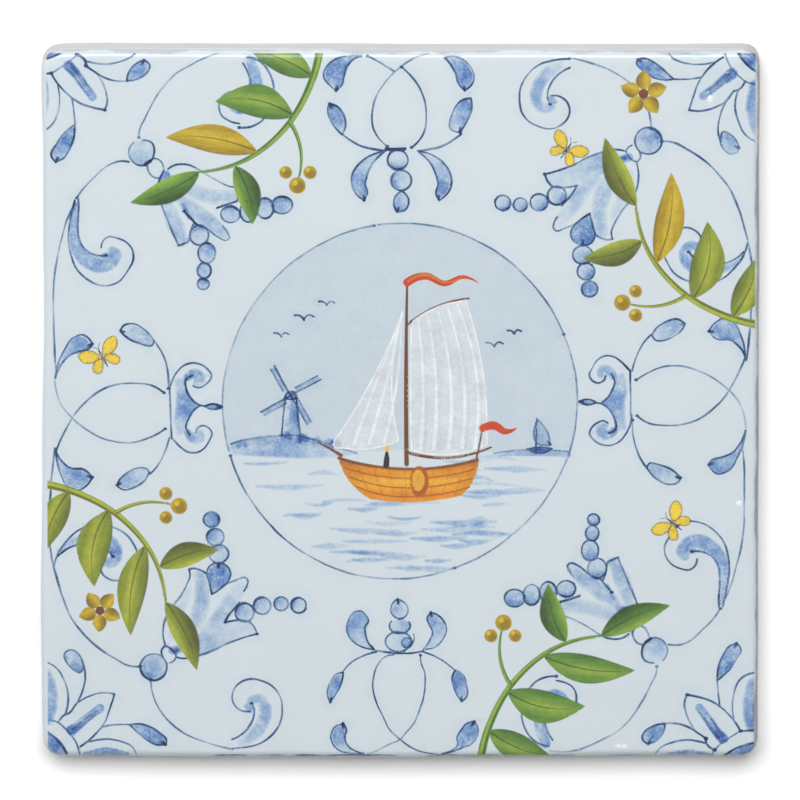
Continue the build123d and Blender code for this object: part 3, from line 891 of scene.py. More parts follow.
def draw_shore(painting):
    """Blue water, a low bank with bushes and a mill on the left, a far sail on the right, and birds."""
    pen, draw = Pen(painting), painting.random
    for y in np.linspace(-10.4, -30.0, 17):
        reach = 0.93 * np.sqrt(ROUNDEL_RADIUS**2 - (y - ROUNDEL[1]) ** 2)
        for start in draw.uniform(-1.0, 0.75, 3) * reach:
            end = min(start + draw.uniform(4.0, 13.0), reach)
            y0, bow = y + draw.uniform(-0.5, 0.5), draw.uniform(-0.5, 0.5)
            pen.brush([(start, y0), ((start + end) / 2, y0 + bow), (end, y0 + draw.uniform(-0.3, 0.3))],
                      (0.12, draw.uniform(0.25, 0.65), 0.1),
                      draw.uniform(0.14, 0.42) * np.array((1.0, 0.8, 0.5)), soft=0.2)
    bank = smooth([(-30.9, -7.6), (-26.0, -6.2), (-19.0, -5.9), (-13.0, -7.4), (-8.5, -9.0), (-14.0, -9.8),
                   (-24.0, -9.6), (-30.9, -9.2)])
    pen.wash(bank, 0.4, (-22.0, -8.6), soft=0.25, spread=5.0)
    pen.line([(-30.8, -7.3), (-26.0, -6.1), (-19.0, -5.8), (-13.0, -7.3), (-8.0, -9.0)], tone=0.4)
    pen.line([(17.0, -9.0), (23.0, -8.4), (30.6, -8.7)], tone=0.35)
    pen.brush([(18.0, -9.4), (25.0, -9.0), (30.6, -9.4)], (0.2, 0.5, 0.4), 0.35)
    for x in draw.uniform(-29.5, -11.0, 9):
        top = -6.3 - 0.14 * abs(x + 21.0) ** 1.1
        pen.brush([(x, top), (x + 0.5, top + 0.7), (x + 1.3, top + 0.1)], (0.4, 0.6, 0.3),
                  draw.uniform(0.35, 0.75), soft=0.25)
    pen.line([(-21.6, -5.8), (-20.9, 1.2)], tone=0.6)
    pen.line([(-18.2, -5.9), (-18.9, 1.2)], tone=0.6)
    pen.leaf([(-21.0, 1.1), (-20.3, 2.3), (-19.4, 2.3), (-18.8, 1.1)], [(-19.9, 0.9), (-21.0, 1.1)],
             fill=0.8)
    pen.wash(np.array([(-20.6, -5.8), (-18.3, -5.8), (-18.9, 1.1), (-19.9, 1.1)]), 0.5, (-18.8, -2.0),
             spread=3.0)
    for k in range(4):
        angle = 0.5 + k * tau / 4
        arm = np.array((np.cos(angle), np.sin(angle)))
        side = np.array((-arm[1], arm[0]))
        pen.line([MILL_HUB, MILL_HUB + 3.0 * arm, MILL_HUB + 6.2 * arm], tone=0.62, width=0.9)
        pen.line([MILL_HUB + 1.4 * arm + 0.9 * side, MILL_HUB + 6.0 * arm + 0.9 * side], tone=0.4, width=0.8)
        pen.brush([MILL_HUB + 1.6 * arm + 0.45 * side, MILL_HUB + 5.8 * arm + 0.45 * side], (0.3, 0.3), 0.35,
                  soft=0.15)
    pen.line([(24.6, -8.6), (24.7, -2.6)], tone=0.5)
    pen.leaf([(24.8, -2.8), (26.6, -5.0), (27.2, -7.4)], [(24.9, -7.2), (24.8, -2.8)], fill=0.3, tone=0.45)
    pen.leaf([(23.0, -8.2), (25.0, -9.0), (27.4, -8.2)], [(25.0, -7.9), (23.0, -8.2)], fill=0.8, tone=0.6)
    for x, y, span in ((-17.5, 15.5, 1.7), (-13.4, 18.2, 1.4), (-21.6, 12.4, 1.3), (17.0, 10.6, 1.5),
                       (20.6, 13.0, 1.2)):
        pen.line([(x - span, y + 0.5 * span), (x - 0.45 * span, y + 0.45 * span), (x, y)], tone=0.6)
        pen.line([(x, y), (x + 0.5 * span, y + 0.55 * span), (x + 1.05 * span, y + 0.35 * span)], tone=0.6)


# Coloured enamels


def seen(red, green, blue):
    """The linear colour of a paint given as it is seen, from 0 to 255: the sRGB curve undone."""
    share = np.array((red, green, blue)) / 255.0
    return np.where(share <= 0.04045, share / 12.92, ((share + 0.055) / 1.055) ** 2.4)


GREENS = seen(46, 78, 20), seen(92, 138, 48), seen(158, 184, 66)  # dark, middle and light of a leaf
OLIVES = seen(78, 84, 18), seen(128, 142, 40), seen(188, 194, 60)
OCHRES = seen(120, 92, 8), seen(182, 152, 14), seen(222, 194, 52)
AMBERS = seen(176, 84, 12), seen(222, 140, 24), seen(246, 190, 60)
WHITES = seen(196, 208, 218), seen(226, 232, 236), seen(248, 250, 251)
RED, YELLOW, BROWN, BLACK = seen(206, 66, 18), seen(240, 206, 40), seen(112, 62, 18), seen(24, 24, 20)


def turned(points, angle):
    """Points turned about the origin by an angle, anticlockwise."""
    spin = np.array(((np.cos(angle), np.sin(angle)), (-np.sin(angle), np.cos(angle))))
    return np.asarray(points, float) @ spin


def leaf_tint(base, tip, width, shades, random):
    """Colour over a leaf: dark on one side of its rib, a light streak on the other, and fine lines."""
    base, tip = np.asarray(base, float), np.asarray(tip, float)
    reach = np.linalg.norm(tip - base)
    along = (tip - base) / reach
    phase = random.uniform(0.0, tau, 2)
    dark, middle, light = shades

    def tint(points):
        u = (points - base) @ along / reach
        v = (points - base) @ np.array((-along[1], along[0])) / (0.5 * width)
        shade = np.clip(v * 1.1 + 0.1 * np.sin(9.0 * u + phase[0]), 0.0, 1.0)[:, None]
        streak = np.exp(-(((v + 0.42) / 0.3) ** 2)) * np.sin(np.pi * np.clip(u, 0.0, 1.0)) ** 0.7
        streak = (0.75 * streak)[:, None]
        lines = 1.0 + 0.12 * np.sin(17.0 * v + 2.0 * np.sin(5.0 * u + phase[1]))[:, None]
        return (middle * (1 - shade) + dark * shade) * (1 - streak) * lines + light * streak

    return tint


# The right half of a butterfly of size 1
WINGS = (
    ((0.1, 0.15), (0.9, 1.05), (1.5, 1.0), (1.45, 0.4), (0.8, 0.0), (0.1, 0.15)),
    ((0.1, 0.0), (0.8, -0.1), (1.1, -0.6), (0.75, -0.95), (0.3, -0.6), (0.1, 0.0)),
)
FEELER = ((0.0, 0.5), (0.12, 0.85), (0.35, 1.05))


class Brush:
    """A brush of thick enamel, for leaves, stems, sails and small creatures."""

    def __init__(self, painting):
        self.painting = painting

    def lay(self, mark, colour):
        """One mark of enamel over what is there."""
        self.painting.enamels.append((mark, colour))

    def line(self, points, colour, half=0.16, cover=1.0, soft=0.06):
        """A line of enamel through a few points: half its width is given at its points."""
        path = smooth(points) if len(points) > 2 else smooth([points[0], np.mean(points, axis=0), points[1]])
        self.lay(Stroke(path, paced(path, half), cover, soft), colour)

    def patch(self, outline, colour, cover=1.0, soft=0.07):
        """A filled patch of enamel."""
        self.lay(Patch(np.asarray(outline, float), cover, soft, pool=0.0), colour)

    def leaf(self, base, tip, width, bend, shades, rib=True):
        """A pointed leaf: its middle bends sideways as a parabola, its half width is a power of a sine."""
        base, tip = np.asarray(base, float), np.asarray(tip, float)
        step = tip - base
        side = np.array((-step[1], step[0])) / np.linalg.norm(step)
        t = np.linspace(0.0, 1.0, max(12, int(np.linalg.norm(step) / 0.42)))
        middle = base + np.outer(t, step) + np.outer(4 * bend * t * (1 - t), side)
        half = 0.5 * width * np.sin(np.pi * t**0.85) ** 0.9
        left, right = middle + side * half[:, None], middle - side * half[:, None]
        outline = np.vstack((left, right[-2:0:-1]))
        self.patch(outline, leaf_tint(base, tip, width + abs(bend), shades, self.painting.random))
        self.line(left[1:-1:3], shades[0], (0.05, 0.13, 0.05), 0.7)
        if rib:
            self.line(middle[1:-3:3], shades[0], (0.18, 0.12, 0.04), 0.8)

    def stem(self, points, half, shades):
        """A stem: a dark line with a lighter one along its lit side."""
        self.line(points, shades[1], half)
        path = smooth(points)
        lit = path + leftward(path) * 0.35 * np.mean(half)
        self.line(lit[::6], shades[2], 0.35 * np.asarray(half), 0.75)
        self.line((path - leftward(path) * 0.7 * np.mean(half))[::6], shades[0], 0.22 * np.asarray(half),
                  0.7)

    def blossom(self, centre, radius, turn, shades):
        """Five pointed petals round a small dark eye."""
        centre = np.asarray(centre, float)
        for angle in turn + np.arange(5) * tau / 5:
            out = np.array((np.cos(angle), np.sin(angle)))
            self.leaf(centre + 0.15 * radius * out, centre + radius * out, 0.62 * radius, 0.0, shades,
                      rib=False)
        self.patch(ring_points(centre, 0.2 * radius, step=0.15)[:-1], BROWN)

    def butterfly(self, centre, size, turn):
        """Two pairs of yellow wings drawn round with a thin dark line, a dark body and two feelers."""
        centre = np.asarray(centre, float)
        body = size * np.array(((0.0, 0.55), (0.0, 0.0), (0.0, -0.75)))
        for flip in (-1.0, 1.0):
            side = size * np.array((flip, 1.0))
            for wing in WINGS:
                shape = smooth(centre + turned(np.array(wing) * side, turn), 0.25)
                self.patch(shape[:-1], YELLOW, 0.95, 0.05)
                self.line(shape[::2], BLACK, 0.07, 0.85, 0.04)
            self.line(centre + turned(np.array(FEELER) * side, turn), BLACK, 0.06, 0.9, 0.04)
        self.line(centre + turned(body, turn), BLACK, (0.14, 0.2, 0.08), 1.0, 0.05)


def paint_boat(brush):
    """A small sailing boat: an amber hull with planks, two white sails full of wind and two red pennants."""
    hull = closed_outline(smooth_sides((
        [(-11.4, -9.6), (-4.0, -11.3), (5.0, -11.6), (14.2, -9.9)],
        [(13.4, -13.6), (11.0, -16.8)],
        [(2.0, -18.0), (-5.6, -17.4)],
        [(-9.4, -14.0), (-11.4, -9.6)],
    )))
    sail = closed_outline(smooth_sides((
        [(2.0, -8.4), (1.8, 3.0), (2.0, 15.0)],
        [(6.6, 17.8), (11.8, 19.0)],
        [(14.6, 8.0), (15.6, -7.4)],
        [(9.0, -9.2), (2.0, -8.4)],
    )))
    jib = closed_outline(smooth_sides((
        [(0.4, 17.0), (-4.4, 6.0), (-12.6, -7.6)],
        [(-6.0, -8.2), (-0.4, -6.6)],
        [(-1.6, 5.0), (0.4, 17.0)],
    )))
    brush.patch(hull, leaf_tint((-11.0, -12.5), (14.0, -12.5), 9.0, AMBERS, brush.painting.random))
    for drop, colour, half in (
        (0.0, BROWN, (0.3, 0.24, 0.3)), (1.7, AMBERS[0], 0.13), (3.4, AMBERS[0], 0.13),
        (5.0, AMBERS[0], 0.13),
    ):
        inset = 0.55 * drop
        plank = [(-11.2 + inset, -9.9 - drop), (-4.0, -11.5 - drop), (5.0, -11.8 - drop),
                 (13.9 - 0.5 * inset, -10.2 - drop)]
        brush.line(plank, colour, half, 0.9)
    for x in np.linspace(-7.6, 11.4, 8):
        brush.line([(x, -11.9), (0.9 * x + 0.4, -14.5), (0.8 * x + 0.6, -17.0)], AMBERS[0], 0.07, 0.6)
    brush.patch(ring_points((3.4, -14.2), 1.7, squash=1.7)[:-1], AMBERS[0])
    brush.patch(ring_points((3.2, -14.0), 1.15, squash=1.7)[:-1], AMBERS[2], 0.8)
    brush.line([(1.1, -11.0), (1.0, 6.0), (1.2, 22.6)], BROWN, (0.42, 0.36, 0.2))
    brush.line([(1.4, 14.8), (6.6, 18.0), (12.4, 19.5)], BROWN, (0.26, 0.22, 0.16))
    brush.line([(1.4, -8.9), (9.0, -9.8), (16.4, -7.9)], BROWN, (0.3, 0.26, 0.18))
    brush.line([(-10.8, -9.4), (-13.6, -7.7), (-15.0, -7.0)], BROWN, (0.32, 0.24, 0.14))
    for cloth in (sail, jib):
        brush.patch(cloth, WHITES[1], 0.62)
    for share in (0.12, 0.3, 0.5, 0.68, 0.86):
        low = np.array((2.0 + 13.4 * share, -8.3 + 0.6 * share))
        high = np.array((2.0 + 9.6 * share, 15.2 + 3.6 * share))
        bulge = (low + high) / 2 + (0.5 + 1.6 * share, 0.0)
        brush.line([low, bulge, high], WHITES[2], (0.35, 0.2, 0.12), 0.75, 0.12)
        brush.line([low + (0.7, 0.1), bulge + (0.6, 0.0), high + (0.4, 0.1)], WHITES[0], (0.25, 0.14, 0.06),
                   0.5, 0.15)
    for share in (0.2, 0.45, 0.7):
        low = np.array((-0.8 - 11.0 * share, -6.8 - 0.9 * share))
        high = np.array((0.2 - 0.3 * share, 16.0 - 1.0 * share))
        brush.line([low, (low + high) / 2 + (1.2 - 2.0 * share, 0.0), high], WHITES[2], (0.3, 0.2, 0.08),
                   0.7, 0.12)
    for cloth in (sail, jib):
        brush.line(np.vstack((cloth, cloth[:1]))[::3], WHITES[2], 0.13, 0.9)
    brush.line([(1.2, 22.4), (4.6, 23.6), (8.0, 22.2), (11.4, 23.4), (14.0, 22.4)], RED,
               (0.75, 0.7, 0.55, 0.4, 0.08))
    brush.line([(1.4, 22.7), (4.6, 23.8), (8.0, 22.4), (11.2, 23.5)], AMBERS[1], (0.22, 0.2, 0.12, 0.05),
               0.8)
    brush.line([(13.8, -9.8), (14.4, -7.0), (14.9, -3.9)], BROWN, (0.2, 0.16, 0.12))
    brush.line([(14.9, -4.4), (17.0, -3.9), (19.0, -5.0), (21.0, -4.4)], RED, (0.7, 0.8, 0.6, 0.1))
    brush.line([(-2.6, -11.2), (-2.5, -9.6), (-2.5, -8.6)], BLACK, (0.55, 0.5, 0.2))
    brush.line([(-2.5, -8.3), (-2.4, -8.0)], AMBERS[2], (0.4, 0.38))


# One spray, grown in from the top edge: its main stem and side stem, its leaves and its berries
MAIN_STEM = ((-14.6, 65.2), (-16.6, 58.0), (-21.0, 50.6), (-28.6, 44.6), (-37.0, 42.6))
SIDE_STEM = ((-20.0, 51.8), (-18.0, 46.0), (-18.6, 41.0))
SPRAY_LEAVES = (  # base, tip, width and bend; the third is ochre on some sprays
    ((-16.0, 60.2), (-27.4, 65.0), 5.0, -0.8),
    ((-19.4, 53.0), (-33.6, 55.6), 6.0, -1.6),
    ((-26.0, 46.4), (-42.6, 49.0), 5.2, -1.2),
    ((-30.0, 43.8), (-26.8, 33.0), 4.4, 0.9),
    ((-36.4, 42.7), (-49.0, 37.0), 4.4, 0.8),
)
OCHRE_LEAF = 2
SPRAY_BERRIES = (((-18.7, 40.2), 1.5), ((-16.4, 42.6), 1.2), ((-20.8, 42.6), 1.15))


def paint_spray(brush, turn, shades, ochre):
    """One leafy spray with three berries, turned about the middle of the tile."""
    brush.stem(turned(MAIN_STEM, turn), (0.75, 0.6, 0.45, 0.2), shades)
    brush.stem(turned(SIDE_STEM, turn), (0.4, 0.3, 0.16), shades)
    for number, (base, tip, width, bend) in enumerate(SPRAY_LEAVES):
        leaf_shades = OCHRES if ochre and number == OCHRE_LEAF else shades
        brush.leaf(turned(base, turn), turned(tip, turn), width, bend, leaf_shades)
    for berry, radius in SPRAY_BERRIES:
        centre = turned(berry, turn)
        brush.patch(ring_points(centre, radius, step=0.3)[:-1], OCHRES[1])
        brush.patch(ring_points(centre + (0.25, -0.3), 0.7 * radius, step=0.3)[:-1], OCHRES[0], 0.6, 0.3)
        brush.patch(ring_points(centre + (-0.4, 0.45), 0.32 * radius, step=0.2)[:-1], OCHRES[2], 0.9, 0.12)


def paint_sprays(brush):
    """Four sprays, each grown in from one side over the border, with two blossoms and three butterflies."""
    for quarter, (shades, ochre) in enumerate(((GREENS, True), (OLIVES, False), (GREENS, False),
                                               (OLIVES, True))):
        paint_spray(brush, quarter * tau / 4, shades, ochre)
    brush.blossom((44.0, 57.0), 4.4, 0.3, OCHRES)
    brush.blossom((-54.6, -38.0), 4.0, 0.9, OCHRES)
    for centre, size, turn in (((-54.0, 8.6), 2.5, 0.5), ((30.0, 46.6), 2.3, -0.6),
                               ((49.6, -22.0), 2.4, 0.9)):
        brush.butterfly(centre, size, turn)


# Painted glints: white dabs of enamel where light glints off the glaze, each given by middle, radius and
# height over width
PAINTED_GLINTS = (
    ((56.0, 56.1), 0.5, 1.3), ((61.4, -18.2), 0.55, 0.9), ((39.6, -62.9), 0.6, 0.6),
    ((40.7, -63.0), 0.5, 0.9),
)


def paint_tile(settings):
    """The whole painting of the tile."""
    painting = Painting(settings.hand_seed, settings.pen_width / MM)
    draw_border(painting)
    draw_roundel(painting)
    draw_shore(painting)
    brush = Brush(painting)
    paint_boat(brush)
    paint_sprays(brush)
    # Painted glints: small white dabs laid over the painting
    for centre, radius, squash in PAINTED_GLINTS:
        brush.patch(ring_points(centre, radius, squash=squash, step=0.15)[:-1], WHITES[2], 1.0, 0.14)
    return painting


# The tile's body, in millimetres

LEVEL_SLACK, LEAST_GAP = 1e-3, 0.05  # how near a level a point of the solid lies, and points to each other
OUTLINE_STEP = 0.1  # distance between points of a dense outline
RIM_STEP = 0.7  # distance between points round the rim
MIDDLE = 58.0  # half the width of the middle of the face, which no edge reaches
ROLL_TURNS = [radians(angle) for angle in range(0, 80, 10)]  # rows of points on the roll of the face
LAST_TURN = radians(80.0)  # how far round the roll the painted face reaches
EASE_WIDTH, EASE_TURN = 2.2, 0.07  # how far in from the roll the normals start to lean, and by how much
FACE_HALF = 65.0  # half the width of the lattices of points on the face
ROW_CELL = 0.055  # cell in which one point of the strokes' edges is kept
FINE_CELL, BARE_CELL, ROLL_CELL = 0.16, 0.5, 0.1  # cells that keep other points clear of those
TRACE = 0.02  # least wash or enamel that is meshed finely
EDGE_MARGIN = 0.06  # how far inside the edge of the face its other points stay
LONG_SIDE, SMEAR = 0.32, 0.06  # a triangle's side this long may not smear this much paint
GUARD_GAP, GUARD_CELL = 0.12, 0.1  # how far from a painted point its guard stands, and from other guards
BACK_HALF, BACK_STEP, BACK_MARGIN = 62.0, 4.0, 1.5  # lattice of the back, and how far from its edge it ends
# Painted shade on the roll: it darkens towards the rim on the right, where the roll turns away from the light,
# and less behind; it also stands for glaze thinning over the clay
RIM_WAVES = (47.0, 0.6), (19.0, 0.5), (8.3, 0.35), (3.1, 0.15)  # length and height, for the wavy edge of the painted rim shade
RIGHT_CLIMB, BEHIND_CLIMB = (0.64, 0.16), (0.51, 0.3)  # how far up the roll the painted shade and thin glaze go, and how waves move it
MOST_CLIMB, BEHIND_SHADE_AND_WEAR, SHADE_AND_WEAR_SOFT = 0.9, 0.5, 0.2  # how far up at most, how strong behind, and how soft
SHEET_WIDTH = 132.0  # millimetres across a view of the tile on the sheet that textures can be baked to
FACE_ON_SHEET, BACK_ON_SHEET = (0.01, 0.8), (0.83, 0.16)  # lower left corner and size of these views
STRIP_LEFT, STRIP_STEP, STRIP_WIDTH = 0.83, 0.04, 0.032  # the upright strips of the sides beside the face


def level_outline(level):
    """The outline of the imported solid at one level, anticlockwise, as a dense closed curve."""
    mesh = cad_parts[NODE].data
    co = np.empty(len(mesh.vertices) * 3)
    mesh.vertices.foreach_get("co", co)
    co = co.reshape(-1, 3) / MM
    flat = np.unique(np.round(co[np.abs(co[:, 2] - level) < LEVEL_SLACK, :2], 3), axis=0)
    flat = flat[np.argsort(np.arctan2(flat[:, 1], flat[:, 0]))]
    flat = flat[np.linalg.norm(flat - np.roll(flat, 1, axis=0), axis=1) > LEAST_GAP]
    return smooth(np.vstack((flat[-3:], flat, flat[:4])), OUTLINE_STEP, lap=3)[:-1]


def spaced(loop, count):
    """The same closed curve as a given number of evenly spaced points."""
    closed = np.vstack((loop, loop[:1]))
    s = lengths(closed)
    t = np.linspace(0.0, s[-1], count, endpoint=False)
    return np.column_stack((np.interp(t, s, closed[:, 0]), np.interp(t, s, closed[:, 1])))


def outward(loop):
    """Unit vectors out of a closed anticlockwise loop."""
    d = np.roll(loop, -1, axis=0) - np.roll(loop, 1, axis=0)
    d /= np.linalg.norm(d, axis=1, keepdims=True)
    return np.column_stack((d[:, 1], -d[:, 0]))


def hex_grid(half, step):
    """Points of a triangular lattice over a square."""
    rows = np.arange(-half, half, step * np.sqrt(0.75))
    x = np.arange(-half, half, step)
    gx, gy = np.meshgrid(x, rows)
    gx[1::2] += step / 2
    return np.column_stack((gx.ravel(), gy.ravel()))


def thin(points, cell):
    """The points with at most one kept in each square cell."""
    _, first = np.unique(np.floor(points / cell).astype(np.int64), axis=0, return_index=True)
    return points[np.sort(first)]


def cell_keys(points, cell, step=(0, 0)):
    """One whole number for the square cell of each point, or for the cell some steps beside it."""
    column, row = (np.floor(points / cell).astype(np.int64) + step).T
    return column * 1_000_003 + row


def clear_of(points, others, cell):
    """The points that have none of the others in their own square cell or the eight round it."""
    steps = [(i, j) for i in (-1, 0, 1) for j in (-1, 0, 1)]
    crowded = np.unique(np.concatenate([cell_keys(others, cell, step) for step in steps]))
    return points[~np.isin(cell_keys(points, cell), crowded)]


def triangulate(loop, points):
    """Triangles that fill a closed loop and use the points in it. The loop's own points come first."""
    every = np.vstack((loop, points))
    made = delaunay_2d_cdt(every.tolist(), [], [list(range(len(loop)))], 1, 1e-6, False)
    places = np.array([tuple(v) for v in made[0]])
    triangles = np.array(made[2])
    a, b, c = (places[triangles[:, i]] for i in range(3))
    face_down = (b[:, 0] - a[:, 0]) * (c[:, 1] - a[:, 1]) < (b[:, 1] - a[:, 1]) * (c[:, 0] - a[:, 0])
    triangles[face_down] = triangles[face_down][:, ::-1]
    middle = (a + b + c) / 3
    outer = np.flatnonzero(np.abs(middle).max(1) > MIDDLE)
    stray = outer[~inside(middle[outer], loop)]
    triangles = np.delete(triangles, stray, axis=0)
    if np.abs(places[: len(loop)] - loop).max() > 1e-4:
        raise RuntimeError("the loop of a face lost its points")
    return places, triangles


def guards(painting, places, triangles):
    """Points close to painted ones, where a long triangle side would smear their paint over bare glaze."""
    depth = painting.depth(places)
    sides = np.unique(np.sort(triangles[:, [0, 1, 1, 2, 2, 0]].reshape(-1, 2), axis=1), axis=0)
    drop = depth[sides[:, 0]] - depth[sides[:, 1]]
    sides[drop < 0] = sides[drop < 0][:, ::-1]
    along = places[sides[:, 1]] - places[sides[:, 0]]
    far = np.linalg.norm(along, axis=1)
    long = (far > LONG_SIDE) & (np.abs(drop) > SMEAR)
    share = GUARD_GAP / far[long]
    points = places[sides[long, 0]] + along[long] * share[:, None]
    smear = depth[sides[long, 0]] - np.abs(drop[long]) * share - painting.depth(points)
    return thin(points[smear > SMEAR], GUARD_CELL)


def rim_shade_and_wear(along, down, out):
    """Painted shade on the roll, with thin glaze: below a wavy line the rim darkens on the right, where it
    turns away from the light, and less behind.
    """
    wave = sum(w * np.sin(tau * along / length + 3.0 * w) for length, w in RIM_WAVES)
    right, behind = np.clip(out, 0.0, 1.0).T
    climb = right * (RIGHT_CLIMB[0] + RIGHT_CLIMB[1] * wave)
    climb += behind * (BEHIND_CLIMB[0] + BEHIND_CLIMB[1] * wave)
    most = np.minimum(right + BEHIND_SHADE_AND_WEAR * behind, 1.0)
    return np.clip((down - 1.0 + np.minimum(climb, MOST_CLIMB)) / SHADE_AND_WEAR_SOFT, 0.0, 1.0) * most


class Body:
    """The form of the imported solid: its top, its rim where the face starts to roll, and what lies beyond."""

    def __init__(self):
        self.top = cad_high.z / MM
        flat = level_outline(self.top)
        self.roll = (cad_high.x - cad_low.x) / MM / 2 - np.ptp(flat[:, 0]) / 2
        self.count = int(lengths(flat)[-1] / RIM_STEP)
        self.rim = spaced(flat, self.count)
        self.out = outward(self.rim)
        self.back = signed_gap(level_outline(0.0), self.rim).mean()
        self.edge = self.rolled(LAST_TURN)

    def rolled(self, turn):
        """The loop that lies some way round the roll: out of the rim by the roll times the sine."""
        return self.rim + self.out * self.roll * np.sin(turn)

    def fall(self, turn):
        """Height of such a loop: below the top by the roll times one minus the cosine."""
        return self.top - self.roll * (1 - np.cos(turn))


def face_points(painting, body, settings):
    """Points in the face: rows along the strokes and the roll, a fine lattice in paint and a coarse one."""
    rows = thin(np.vstack([mark.rows() for mark in painting.shapes()]), ROW_CELL)
    fine = hex_grid(FACE_HALF, settings.paint_step / MM)
    _, wash = painting.cobalt(fine, bleeds=False)
    _, cover = painting.enamel(fine)
    fine = clear_of(fine[(wash > TRACE) | (cover > TRACE)], rows, FINE_CELL)
    bare = clear_of(hex_grid(FACE_HALF, settings.bare_step / MM), np.vstack((rows, fine)), BARE_CELL)
    roll_rows = clear_of(np.vstack([body.rolled(turn) for turn in ROLL_TURNS]), rows, ROLL_CELL)
    loose = np.vstack((rows, fine, bare, roll_rows))
    close = np.abs(loose).max(1) > MIDDLE
    keep = np.ones(len(loose), bool)
    keep[close] = signed_gap(loose[close], body.edge) < -EDGE_MARGIN
    return loose[keep]


def roll_over(face, body):
    """Heights, normals and painted rim shade of points of the face: flat inside the rim and an arc of a circle
    beyond it.

    The normals start to lean out a little way inside the rim, so that the roll comes in softly.
    """
    z, slope, shade_and_wear = np.full(len(face), body.top), np.zeros(len(face)), np.zeros(len(face))
    lean = np.zeros((len(face), 2))
    close = np.abs(face).max(1) > MIDDLE
    far, where = nearest(face[close], np.vstack((body.rim, body.rim[:1])))
    beyond = ~inside(face[close], body.rim)
    turn = np.arcsin(np.clip(np.where(beyond, far, 0.0) / body.roll, 0.0, 1.0))
    ease = np.where(beyond, 1.0 - turn / LAST_TURN, np.clip(1.0 - far / EASE_WIDTH, 0.0, 1.0) ** 2)
    k = where.astype(int) % body.count
    z[close] = body.fall(turn)
    slope[close] = turn + EASE_TURN * ease
    shade_and_wear[close] = rim_shade_and_wear(where * lengths(body.rim)[-1] / body.count, turn / LAST_TURN, body.out[k])
    lean[close] = body.out[k] + (body.out[(k + 1) % body.count] - body.out[k]) * (where % 1)[:, None]
    return z, np.column_stack((lean * np.sin(slope)[:, None], np.cos(slope))), shade_and_wear


def side_rings(body, arris):
    """Rings of points from the roll down the sides and round the arris to the back, and their normals.

    A ring is given by how far out of the rim and how high it lies, and how far its normal turns down.
    """
    roll_turns, side_turn = (radians(84.0), radians(88.0)), radians(91.0)
    profile = [(body.roll * np.sin(turn), body.fall(turn), turn) for turn in roll_turns]
    high, foot = body.fall(roll_turns[-1]), body.back + arris
    for share in (0.33, 0.67, 1.0):
        profile.append((body.roll + (foot - body.roll) * share, high + (arris - high) * share, side_turn))
    for angle in (25.0, 50.0, 75.0, 90.0):
        turn = radians(angle)
        profile.append((body.back + arris * np.cos(turn), arris * (1 - np.sin(turn)), radians(90.0 + angle)))
    out, height, turn = np.array(profile).T[:, :, None, None]
    upright = np.ones((len(profile), body.count, 1))
    rings = np.concatenate((body.rim + body.out * out, upright * height), axis=2)
    normals = np.concatenate((body.out * np.sin(turn), upright * np.cos(turn)), axis=2)
    return rings, normals


def strip_triangles(levels):
    """Two triangles for each square between one row of numbered points and the next, going round."""
    a, b = levels[:-1], levels[1:]
    a2, b2 = np.roll(a, -1, axis=1), np.roll(b, -1, axis=1)
    return np.concatenate((np.stack((a, b, b2), 2).reshape(-1, 3), np.stack((a, b2, a2), 2).reshape(-1, 3)))


def on_sheet(places, corner, size):
    """Where points seen from above lie on the sheet for baking: in a square of a size at a corner."""
    return corner + size * (places + SHEET_WIDTH / 2) / SHEET_WIDTH


def strips_on_sheet(count, levels):
    """Where the triangles of the sides lie on the sheet for baking: four upright strips, one for each quarter.
    """
    ring, level = np.tile(np.arange(count), levels - 1), np.repeat(np.arange(levels - 1), count)
    quarter = (ring * 4 // count)[:, None]
    corner, size = FACE_ON_SHEET
    halves = []
    for on, down in (((0, 0, 1), (0, 1, 1)), ((0, 1, 1), (0, 1, 0))):
        along = (ring[:, None] + on) * 4 / count - quarter
        across = STRIP_LEFT + STRIP_STEP * quarter + STRIP_WIDTH * (level[:, None] + down) / (levels - 1)
        halves.append(np.stack((across, corner + size * along), axis=2))
    return np.concatenate(halves)


def triangle_mesh(name, places, triangles, kinds):
    """A smooth mesh of triangles in metres, with the number of its material for each."""
    mesh = bpy.data.meshes.new(name)
    mesh.vertices.add(len(places))
    mesh.vertices.foreach_set("co", (places * MM).ravel())
    mesh.loops.add(3 * len(triangles))
    mesh.loops.foreach_set("vertex_index", triangles.ravel())
    mesh.polygons.add(len(triangles))
    mesh.polygons.foreach_set("loop_start", np.arange(0, 3 * len(triangles), 3))
    mesh.polygons.foreach_set("material_index", kinds)
    mesh.update(calc_edges=True)
    mesh.polygons.foreach_set("use_smooth", np.ones(len(triangles), bool))
    return mesh


